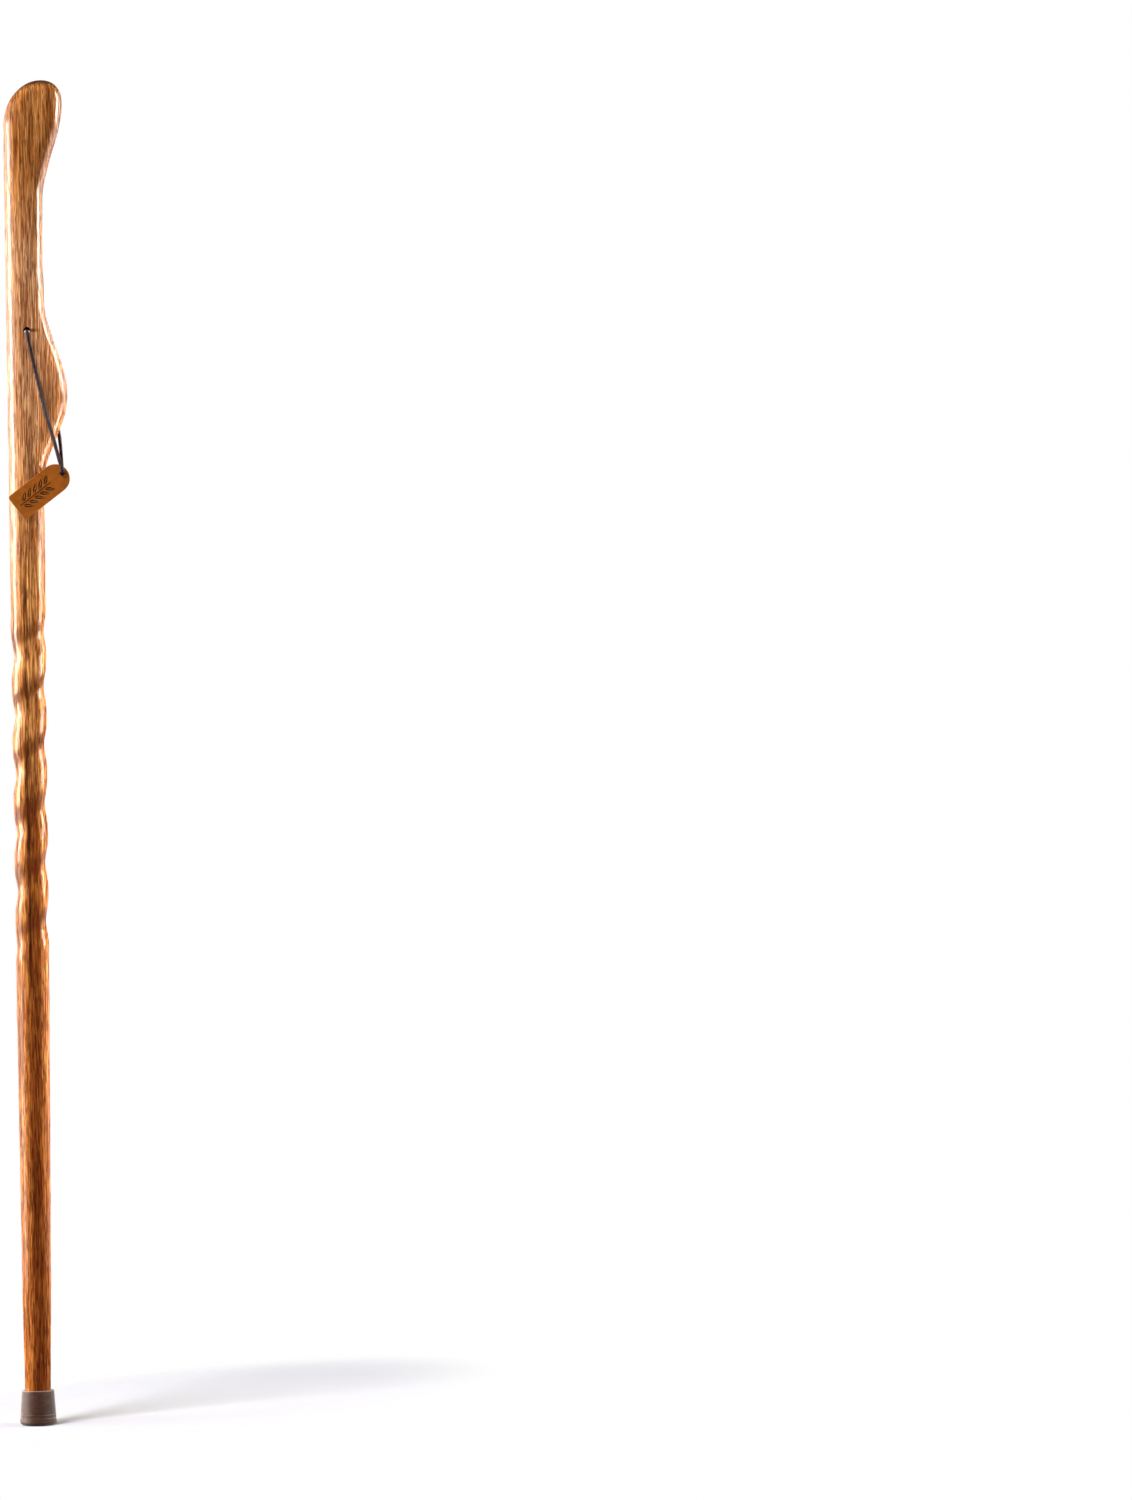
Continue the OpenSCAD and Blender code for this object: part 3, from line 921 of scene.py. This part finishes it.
oak = Finish("oak", Coat_Roughness=0.15, Coat_IOR=1.5, Specular_IOR_Level=0.0)
wander = oak.mottle(oak.place, WANDER_SIZE, detail=1.0, output="Color")
grain_place = oak.vector("MULTIPLY_ADD", Vector=wander, Vector_001=(WANDER, WANDER, 0), Vector_002=oak.place)
grain_x = oak.axis(grain_place, "X")
grain_y = oak.axis(grain_place, "Y")
ring_r = ((grain_x - PITH_X) ** 2 + (grain_y - PITH_Y) ** 2) ** 0.5
ring_age = (ring_r * (1 / RING_W) + oak.mottle(oak.place, RING_DRIFT_SIZE) * RING_DRIFT).fraction()
early_wood = 1 - oak.rise(ring_age, *EARLY_FADE) * oak.rise(1 - ring_age, *LATE_FADE)
early_wood = early_wood * oak.rise(oak.mottle(grain_place, RING_BREAK_SIZE), *RING_BREAK_RANGE)
print("oak rings:", RING_W / MM, "mm wide")

# %% [markdown]
# Between the rings run fine fibres, broader bands and short streaks, and the pores lie as thin dashes. All
# of them are noise or cells drawn out along the stick. A list says how strongly each one darkens the pale
# wood.

# %% Oak fibres and pores
OAK_PALE = paint(255, 198, 148)
OAK_BROWN = paint(180, 110, 62)
OAK_DARK = paint(84, 33, 5)
OAK_PORE = paint(54, 20, 2)
FIBRE_SIZE = mm(0.7, 5, 45)
FIBRE_RANGE = (0.38, 0.62)
BAND_SIZE = mm(8, 8, 150)
BAND_RANGE = (0.42, 0.66)
BAND_SHARE = 0.45
STREAK_SIZE = mm(1.4, 6, 15)
STREAK_RANGE = (0.48, 0.62)
STREAK_SHARE = 0.6
EARLY_SHARE = 0.92
PORE_SIZE = mm(0.75, 2.5, 36)
PORE_RANGE = (0.2, 0.34)
PORE_GROWTH = 0.1
PORE_SHARE = 0.55
LENGTHWISE_RANGE = (0.12, 0.42)

pore_near = oak.cells(grain_place, PORE_SIZE)
fibres = oak.mottle(grain_place, FIBRE_SIZE, detail=3.0)
bands = oak.rise(oak.mottle(grain_place, BAND_SIZE), *BAND_RANGE)
streaks = oak.rise(oak.mottle(grain_place, STREAK_SIZE), *STREAK_RANGE)
facing_up = oak.axis(oak.node("TexCoord", output="Normal"), "Z")
lengthwise = 1 - oak.rise(facing_up.absolute(), *LENGTHWISE_RANGE)
pores = (1 - oak.rise(pore_near - early_wood * PORE_GROWTH, *PORE_RANGE)) * lengthwise

oak_colour = oak.blend(oak.rise(fibres, *FIBRE_RANGE), OAK_BROWN, OAK_PALE)
for share, colour in (
    (bands * BAND_SHARE, OAK_DARK),
    (streaks * STREAK_SHARE, OAK_DARK),
    (early_wood * EARLY_SHARE, OAK_DARK),
    (pores * PORE_SHARE, OAK_PORE),
):
    oak_colour = oak.blend(share, oak_colour, colour)
print("oak grain:", len(oak.tree.nodes), "nodes so far")

# %% [markdown]
# Two dark streaks of heartwood run along this stick, one through the twist and one through the grip. Each
# is an upright sheet that sways and frays. It could be painted by hand, but as a sheet in space it also
# shows on the sides and the back, where the stick would show it.

# %% Oak heart streaks
SWAY = 12 * MM
SWAY_SIZE = mm(200, 200, 80)
FRAY_SIZE = mm(2.2, 8, 28)
FRAY_RANGE = (0.34, 0.54)
HEART_CORE = 0.15
HEART_END = 0.06
# Each streak: its middle and half its width, its lowest and highest point, how dark it is, and its colour.
HEART_STREAKS = (
    (-1.6 * MM, 2.6 * MM, 0.44, 0.92, 0.85, OAK_PORE),
    (10 * MM, 4 * MM, 1.15, 1.33, 0.3, OAK_DARK),
)

height = oak.axis(oak.place, "Z")
sway = oak.mottle(oak.place, SWAY_SIZE) * SWAY - SWAY / 2
fray = oak.rise(oak.mottle(grain_place, FRAY_SIZE), *FRAY_RANGE)


def below(top, fade):
    """One on the lower part of the stick, fading out towards a height."""
    return oak.rise(top - height, 0.0, fade)


for middle_x, half_w, low, high, share, colour in HEART_STREAKS:
    off = (grain_x + sway - middle_x).absolute()
    sheet = 1 - oak.rise(off, half_w * HEART_CORE, half_w)
    heart = sheet * fray * oak.rise(height, low, low + HEART_END) * below(high, HEART_END)
    oak_colour = oak.blend(heart * share, oak_colour, colour)
print("oak heart:", len(HEART_STREAKS), "streaks")

# %% [markdown]
# One length of wood isn't one colour. This stick is warmer in the shaft and the head, deeper towards its
# foot, and paler in the sapwood on the flare's side. A painted shade darkens the middle of the lower shaft,
# front and back, as if it were lit only from its sides. These are tints, so the grain stays sharp under them.

# %% Oak tints
OAK_WARM = (0.93, 0.81, 0.52, 1.0)
OAK_DEEP = (0.74, 0.6, 0.42, 1.0)
# Tint of the painted shade down the middle of the lower shaft.
OAK_MIDDLE_SHADE = (0.47, 0.33, 0.2, 1.0)
OAK_SAP = (1.4, 1.32, 1.2, 1.0)
WARM_TOP, WARM_FADE = 1.12, 0.25
WARM_HEAD = (1.19, 1.3)
DEEP_TOP, DEEP_FADE = 0.8, 0.55
DEEP_HEAD = (1.22, 1.34)
DEEP_HEAD_SHARE = 0.66
SAP_TOP, SAP_FADE = 1.16, 0.06
SAP_SIDE = mm(9, 19)
# Painted shade down the middle of the lower shaft, front and back.
MIDDLE_SHADE_TOP, MIDDLE_SHADE_FADE = 0.76, 0.16
MIDDLE_SHADE_X = 3 * MM
MIDDLE_SHADE_SIDE = mm(3, 11)
MIDDLE_SHADE_SWAY = 0.5

warmth = below(WARM_TOP, WARM_FADE) + oak.rise(height, *WARM_HEAD)
depth = below(DEEP_TOP, DEEP_FADE) + oak.rise(height, *DEEP_HEAD) * DEEP_HEAD_SHARE
sapwood = oak.rise(grain_x, *SAP_SIDE) * below(SAP_TOP, SAP_FADE)
# Painted shade: darkest in a band down the middle of the lower shaft, front and back.
middle_shade_off = (grain_x + sway * MIDDLE_SHADE_SWAY - MIDDLE_SHADE_X).absolute()
middle_shade = (1 - oak.rise(middle_shade_off, *MIDDLE_SHADE_SIDE)) * below(MIDDLE_SHADE_TOP, MIDDLE_SHADE_FADE)
for share, tint in ((warmth, OAK_WARM), (depth, OAK_DEEP), (middle_shade, OAK_MIDDLE_SHADE), (sapwood, OAK_SAP)):
    oak_colour = oak.blend(share, oak_colour, tint, "MULTIPLY")
print("oak tints:", len(oak.tree.nodes), "nodes so far")

# %% [markdown]
# End grain on the crown drinks the stain. A painted shade darkens the undersides of the twist and the walls
# of the lace hole, and a painted shadow of the lace lies beside its hole. The varnish is the shader's coat,
# thinner over the pores, with a few tiny blisters that make the shine sparkle.

# %% Oak end grain, painted shade and varnish
# Stained end grain; the same colour is also the painted shade inside the lace hole.
OAK_END_GRAIN_AND_SHADE = paint(46, 21, 6)
# Painted shade on the twist's surfaces that face down.
UNDERSIDE_SHADE_RANGE = (0.0, 0.2)
UNDERSIDE_SHADE_SHARE = 0.65
END_RANGE = (0.5, 0.9)
END_GRAIN_AND_SHADE_SHARE = 0.9
# A painted shadow of the lace: a dark smear right of its hole on the front face.
LACE_SHADOW_START = mm(1, 4)
LACE_SHADOW_END = mm(5, 17)
LACE_SHADOW_HALF = mm(0.5, 3)
LACE_SHADOW_FACE = mm(8, 12)
LACE_SHADOW_SHARE = 0.85
OAK_ROUGHNESS, PORE_ROUGHNESS = 0.4, 0.2
VARNISH = 0.09
PORE_DULLNESS = 0.25
BLISTER_SIZE = mm(9, 9, 9)
BLISTER_RANGE = (0.02, 0.07)
FIBRE_RELIEF, PORE_RELIEF, BLISTER_RELIEF = 0.25, 0.7, 1.5
OAK_RELIEF = 0.07 * MM

in_twist = oak.rise(height, TWIST_H, TWIST_H + RUN_IN_L) * below(TWIST_TOP_H, RUN_IN_L)
# Painted shade: surfaces of the twist that face down are darkened.
underside_shade = oak.rise(0 - facing_up, *UNDERSIDE_SHADE_RANGE) * in_twist
end_grain = oak.rise(facing_up, *END_RANGE)
to_bore = (-LACE_HOLE_X, 0, -LACE_HOLE_H)
bore_way = oak.vector("MULTIPLY_ADD", Vector=oak.place, Vector_001=(1, 0, 1), Vector_002=to_bore)
# Painted shade on the walls of the lace hole, which also have no varnish.
shaded_bare_bore = 1 - oak.rise(oak.vector("LENGTH", "Value", Vector=bore_way), hole_r, hole_r + HOLE_EASE)
# Painted shadow of the lace, to the right of the hole on the front face.
lace_shadow_x = oak.axis(bore_way, "X")
lace_shadow = oak.rise(lace_shadow_x, *LACE_SHADOW_START) * (1 - oak.rise(lace_shadow_x, *LACE_SHADOW_END))
lace_shadow = lace_shadow * (1 - oak.rise(oak.axis(bore_way, "Z").absolute(), *LACE_SHADOW_HALF)) * oak.rise(0 - grain_y, *LACE_SHADOW_FACE)
for share, colour in (
    (underside_shade * UNDERSIDE_SHADE_SHARE, OAK_DARK),
    (end_grain * END_GRAIN_AND_SHADE_SHARE, OAK_END_GRAIN_AND_SHADE),
    (shaded_bare_bore * END_GRAIN_AND_SHADE_SHARE, OAK_END_GRAIN_AND_SHADE),
    (lace_shadow * LACE_SHADOW_SHARE, OAK_DARK),
):
    oak_colour = oak.blend(share, oak_colour, colour)
varnish = (1 - shaded_bare_bore) * (1 - pores * PORE_DULLNESS) * VARNISH
oak.dress(Base_Color=oak_colour, Roughness=OAK_ROUGHNESS + pores * PORE_ROUGHNESS, Coat_Weight=varnish)

blisters = 1 - oak.rise(oak.cells(oak.place, BLISTER_SIZE), *BLISTER_RANGE)
oak.bump(fibres * FIBRE_RELIEF - pores * PORE_RELIEF + blisters * BLISTER_RELIEF, OAK_RELIEF)
oak.cover(oak_staff)

# %% [markdown]
# ## Leathers, rubber and steel
# The thong is dyed almost black, with fine fibres along it and a satin glint. Worn patches are a little
# paler. Two noises, one coarse for the wear and one fine for the hide, are enough at this size.

# %% Thong leather
THONG_DYE = paint(38, 28, 30)
THONG_WORN = paint(62, 48, 50)
THONG_FIBRE = paint(84, 69, 70)
SCUFF_SIZE = mm(2.2, 2.2, 5)
SCUFF_RANGE = (0.35, 0.75)
HIDE_SIZE = mm(0.35, 0.35, 1.6)
HIDE_RANGE = (0.5, 0.8)
HIDE_SHARE = 0.5
HIDE_RELIEF = 0.12 * MM
THONG_ROUGHNESS, HIDE_ROUGHNESS = 0.42, 0.25

thong_leather = Finish("thong_leather", Specular_IOR_Level=0.01)
scuffs = thong_leather.mottle(thong_leather.place, SCUFF_SIZE, detail=4.0)
hide = thong_leather.mottle(thong_leather.place, HIDE_SIZE, detail=3.0)
dye = thong_leather.blend(thong_leather.rise(scuffs, *SCUFF_RANGE), THONG_DYE, THONG_WORN)
dye = thong_leather.blend(thong_leather.rise(hide, *HIDE_RANGE) * HIDE_SHARE, dye, THONG_FIBRE)
thong_leather.dress(Base_Color=dye, Roughness=THONG_ROUGHNESS + hide * HIDE_ROUGHNESS)
thong_leather.bump(hide, HIDE_RELIEF)
thong_leather.cover(front_thong, back_thong, thong_knot)

# %% [markdown]
# The tag is natural tan leather: a close pebble grain, pale cut edges and a dark stain in the pressed
# leaves. The depth below the tag's face tells the stained floors apart, and the way a face looks tells the
# cut edges, so nothing has to be masked by hand.

# %% Tag leather
TAN = paint(158, 88, 20)
TAN_DEEP = paint(124, 64, 12)
TAN_EDGE = paint(226, 176, 112)
STAIN = paint(58, 27, 8)
PEBBLE_SIZE = mm(0.55, 0.55, 0.55)
PEBBLE_RELIEF = 0.09 * MM
SHADE_SIZE = mm(9, 6, 9)
SHADE_RANGE = (0.3, 0.75)
SHADE_SHARE = 0.6
SPECK_SIZE = mm(0.5, 0.5, 0.5)
SPECK_RANGE = (0.45, 0.75)
SPECK_SHARE = 0.45
EDGE_RANGE = (0.15, 0.7)
EDGE_SHARE = 0.6
STAIN_TOP = (TAG_T - 0.34 * MM, TAG_T - 0.12 * MM)
STAIN_FOOT = (TAG_T - 0.75 * MM, TAG_T - 0.55 * MM)
STAIN_SHARE = 0.9
TAN_ROUGHNESS, SPECK_ROUGHNESS = 0.5, 0.2

tan_leather = Finish("tan_leather", Specular_IOR_Level=0.04)
pebbles = tan_leather.cells(tan_leather.place, PEBBLE_SIZE)
shades = tan_leather.mottle(tan_leather.place, SHADE_SIZE, detail=3.0)
specks = tan_leather.mottle(tan_leather.place, SPECK_SIZE)
tag_height = tan_leather.axis(tan_leather.place, "Z")
face_on = tan_leather.axis(tan_leather.node("TexCoord", output="Normal"), "Z").absolute()
cut_edge = 1 - tan_leather.rise(face_on, *EDGE_RANGE)
stained = (1 - tan_leather.rise(tag_height, *STAIN_TOP)) * tan_leather.rise(tag_height, *STAIN_FOOT)
tan_colour = TAN
for share, colour in (
    (tan_leather.rise(shades, *SHADE_RANGE) * SHADE_SHARE, TAN_DEEP),
    (tan_leather.rise(specks, *SPECK_RANGE) * SPECK_SHARE, TAN_DEEP),
    (cut_edge * EDGE_SHARE, TAN_EDGE),
    (stained * (1 - cut_edge) * STAIN_SHARE, STAIN),
):
    tan_colour = tan_leather.blend(share, tan_colour, colour)
tan_leather.dress(Base_Color=tan_colour, Roughness=TAN_ROUGHNESS + specks * SPECK_ROUGHNESS)
tan_leather.bump(pebbles, PEBBLE_RELIEF)
tan_leather.cover(leather_tag)

# %% [markdown]
# The ferrule's rubber is satin brown with a faint cloudy bloom, and a painted shade darkens its foot where it
# meets the ground. The washer inside it is zinc-plated steel. It keeps its solid's shape, because a plain
# ring is all that it is, and takes a finish with the soft spangle of the plating.

# %% Rubber and steel
RUBBER_DARK = paint(50, 26, 15)
RUBBER_BLOOM = paint(66, 39, 27)
# Painted shade for the ferrule's foot, where it meets the ground.
RUBBER_FOOT_SHADE = paint(22, 14, 11)
BLOOM_SIZE = mm(9, 9, 5)
BLOOM_RANGE = (0.3, 0.75)
MOULD_SIZE = mm(0.6, 0.6, 0.6)
MOULD_RELIEF = 0.05 * MM
FOOT_SHADE_RANGE = mm(1.5, 4.5)
FOOT_SHADE_SHARE = 0.85
RUBBER_ROUGHNESS, BLOOM_ROUGHNESS = 0.38, 0.15
ZINC_DULL = paint(176, 176, 178)
ZINC_BRIGHT = paint(205, 206, 208)
SPANGLE_SIZE = mm(1.5, 1.5, 1.5)
ZINC_ROUGHNESS, SPANGLE_ROUGHNESS = 0.3, 0.2

rubber = Finish("brown_rubber", Specular_IOR_Level=0.07, Sheen_Weight=0.3)
bloom = rubber.mottle(rubber.place, BLOOM_SIZE, detail=4.0)
# Painted shade: the lowest few millimetres of the ferrule darken towards the ground.
painted_foot_shade = 1 - rubber.rise(rubber.axis(rubber.place, "Z"), *FOOT_SHADE_RANGE)
rubber_colour = rubber.blend(rubber.rise(bloom, *BLOOM_RANGE), RUBBER_DARK, RUBBER_BLOOM)
rubber_colour = rubber.blend(painted_foot_shade * FOOT_SHADE_SHARE, rubber_colour, RUBBER_FOOT_SHADE)
rubber.dress(Base_Color=rubber_colour, Roughness=RUBBER_ROUGHNESS + bloom * BLOOM_ROUGHNESS)
rubber.bump(rubber.mottle(rubber.place, MOULD_SIZE), MOULD_RELIEF)
rubber.cover(rubber_ferrule)

zinc = Finish("zinc_steel", Metallic=1.0)
spangle = zinc.mottle(zinc.place, SPANGLE_SIZE, detail=3.0)
zinc_colour = zinc.blend(spangle, ZINC_DULL, ZINC_BRIGHT)
zinc.dress(Base_Color=zinc_colour, Roughness=ZINC_ROUGHNESS + spangle * SPANGLE_ROUGHNESS)
frame["nodes"]["ferrule_washer"].material_slots[0].material = zinc.material
print("zinc:", len(zinc.tree.nodes), "nodes")

# %% [markdown]
# ## Floor, backdrop and lights
# The staff stands in a white studio. A floor that only looks white under strong lamps would bleach the
# wood, so it is pale where it is seen and darker in the light that it throws back. Outside a long oval
# round the shadow it fades to a plain white that needs no lamp at all. The backdrop has the same white.

# %% Floor and backdrop
FLOOR_HALF = 15
FLOOR_PALE = paint(219, 221, 231)
FLOOR_BOUNCE = paint(120, 120, 120)
WHITE = (1, 1, 1, 1)
SHADOW_WAY = (0.64, 0.768, 0.0)
SHADOW_SIDE = (0.768, -0.64, 0.0)
SHADOW_MIDDLE = 0.25
SHADOW_HALF_L = 0.41
SHADOW_HALF_W = 0.2
FADE_FROM = 0.6
FADE_TO = 1.2
WORLD_LIGHT = 0.16


def shown(shader):
    """One for rays that see the background: from the camera, in reflections and through glass."""
    kinds = ("Is Camera Ray", "Is Glossy Ray", "Is Transmission Ray")
    camera_ray, glossy_ray, glass_ray = [shader.node("LightPath", output=kind) for kind in kinds]
    return camera_ray.greater(glossy_ray).greater(glass_ray)


floor_points = [(x * FLOOR_HALF, y * FLOOR_HALF, 0) for x, y in ((-1, -1), (1, -1), (1, 1), (-1, 1))]
floor = make_piece("floor", [(floor_points, [[0, 1, 2, 3]])])
floor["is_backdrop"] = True
pale = Finish("pale_floor")
along, across = [
    pale.vector("DOT_PRODUCT", "Value", Vector=pale.place, Vector_001=way)
    for way in (SHADOW_WAY, SHADOW_SIDE)
]
along = (along - SHADOW_MIDDLE) * (1 / SHADOW_HALF_L)
across = across * (1 / SHADOW_HALF_W)
white_share = pale.rise(along * along + across * across, FADE_FROM**2, FADE_TO**2)
seen = shown(pale)
plain = pale.node("BsdfDiffuse", Color=pale.blend(seen, FLOOR_BOUNCE, FLOOR_PALE))
white = pale.node("Emission", Color=WHITE, Strength=1.0)
mixed = pale.node("MixShader", Fac=white_share * seen, Shader=plain, Shader_001=white)
plug(pale.tree.nodes["Material Output"].inputs["Surface"], mixed)
pale.cover(floor)

world = bpy.data.worlds.new("studio")
world.use_nodes = True
bpy.context.scene.world = world
backdrop = world.node_tree.nodes["Background"].inputs
plug(backdrop["Color"], WHITE)
plug(backdrop["Strength"], WORLD_LIGHT + shown(Shader(world.node_tree)) * (1 - WORLD_LIGHT))
bpy.context.scene.view_settings.view_transform = "Standard"
print("floor:", FLOOR_HALF * 2, "m square, world light", WORLD_LIGHT)

# %% [markdown]
# A wide window, made as a soft sun, lights the staff from the front left and throws its shadow to the back
# right. The bands of shine on the varnish come from tall panels on both sides. Only reflections see the
# panels, so they can be as bright as a softbox looks in varnish without bleaching the wood. Four golden
# lamps, two on each side, light only the matt colour and warm the edges next to the shine.

# %% Light list
CREAM = (1.0, 0.96, 0.9)
ROSE = (1.0, 0.94, 0.9)
GOLD = (1.0, 0.88, 0.7)
# Each panel: name, place, the depth that it faces, width, height, brightness, colour.
SHINE_PANELS = (
    ("left_wall", (-1.3, 0.195, 1.3), 0.195, 2.2, 0.8, 53.0, CREAM),
    ("left_low", (-1.3, 0.195, 0.45), 0.195, 2.2, 0.9, 10.0, CREAM),
    ("left_core", (-1.25, 0.069, 1.05), 0.069, 0.578, 1.1, 155.0, CREAM),
    ("left_foot", (-1.25, 0.069, 0.21), 0.069, 0.578, 0.42, 45.0, CREAM),
    ("left_back", (-0.65, 1.13, 0.85), 0, 0.9, 1.7, 15.0, CREAM),
    ("right_strip", (1.15, 0.12, 1.475), 0.12, 0.437, 0.45, 185.0, ROSE),
    ("right_top", (1.15, 0.12, 1.875), 0.12, 0.437, 0.35, 140.0, ROSE),
    ("left_top", (-1.3, 0.195, 1.95), 0.195, 2.2, 0.5, 16.0, CREAM),
    ("right_low", (1.15, 0.06, 0.78), 0.06, 0.6, 0.36, 120.0, ROSE),
    ("right_foot", (0.98, 0.69, 0.26), 0, 0.87, 0.5, 12.0, CREAM),
    ("right_soft", (1.2, 0.3, 1.4), 0.3, 0.95, 1.0, 34.0, CREAM),
    ("right_back", (0.92, 0.77, 1.4), 0, 0.8, 0.9, 18.0, CREAM),
)
# Each lamp: name, place, width, height, brightness, spread in degrees.
MATT_LAMPS = (
    ("left_lamp", (-1.38, -0.4, 0.9), 0.55, 2.0, 13.5, 80),
    ("left_low_lamp", (-1.35, 0, 0.22), 0.7, 0.42, 27.0, 80),
    ("right_lamp", (1.33, 0.1, 0.95), 0.7, 1.1, 19.0, 70),
    ("right_low_lamp", (1.33, -0.1, 0.22), 0.8, 0.42, 30.0, 70),
)
print("light list:", len(SHINE_PANELS), "panels,", len(MATT_LAMPS), "lamps")

# %% Lights
WINDOW_LIGHT = 3.2
WINDOW_WIDTH = math.radians(21)
WINDOW_FALL = 1.19


def add_light(name, kind, way):
    """A light that shines along a way."""
    light = bpy.data.objects.new(name, bpy.data.lights.new(name, kind))
    light.rotation_euler = Vector(way).to_track_quat("-Z", "Y").to_euler()
    bpy.context.scene.collection.objects.link(light)
    return light


def panel(name, place, aim, width, height, brightness, colour, shine, spread=180):
    """A flat lamp with a face this bright, where one is white. It is seen in the shine or lights the matt."""
    half = math.radians(spread / 2)
    gathered = 1 - half / math.tan(half) if spread < 180 else 1
    lamp = add_light(name, "AREA", Vector(aim) - Vector(place))
    lamp.data.shape = "RECTANGLE"
    lamp.data.size = width
    lamp.data.size_y = height
    lamp.data.energy = brightness * math.pi * width * height * gathered
    lamp.data.spread = 2 * half
    lamp.data.color = colour
    lamp.location = place
    lamp.visible_camera = False
    lamp.visible_glossy = shine
    lamp.visible_diffuse = not shine


for name, place, aim_y, width, height, brightness, colour in SHINE_PANELS:
    panel(name, place, (0, aim_y, place[2]), width, height, brightness, colour, shine=True)
for name, place, width, height, brightness, spread in MATT_LAMPS:
    panel(name, place, (0, 0, place[2]), width, height, brightness, GOLD, shine=False, spread=spread)
window = add_light("window", "SUN", (*SHADOW_WAY[:2], -WINDOW_FALL))
window.data.energy = WINDOW_LIGHT
window.data.angle = WINDOW_WIDTH
window.visible_glossy = False

# %% [markdown]
# ## Attach to the bodies
# Each piece is attached to the body that it moves with, and the solids that it stands for are hidden.

# %% Riders
for piece, body, slot, nodes in (
    (oak_staff, "staff", "oak", ["staff"]),
    (rubber_ferrule, "staff", "ferrule_rubber", ["ferrule"]),
    (front_thong, "lace", "lace_leather", ["lace_front"]),
    (back_thong, "lace", "lace_leather", ["lace_back"]),
    (thong_knot, "lace", "lace_leather", ["lace_knot"]),
    (leather_tag, "tag", "tag_leather", ["tag"]),
):
    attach(piece, body)
    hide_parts(*nodes)

# %% [markdown]
# Last come the sizes. The box of the dressed staff is set beside the box of the solids, because dressing a
# part must not make it bigger.

# %% Sizes
visual_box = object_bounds()
for name, box in (("cad", cad_box), ("visual", visual_box)):
    print("box:", name, [round(c, 4) for c in box[1] - box[0]])
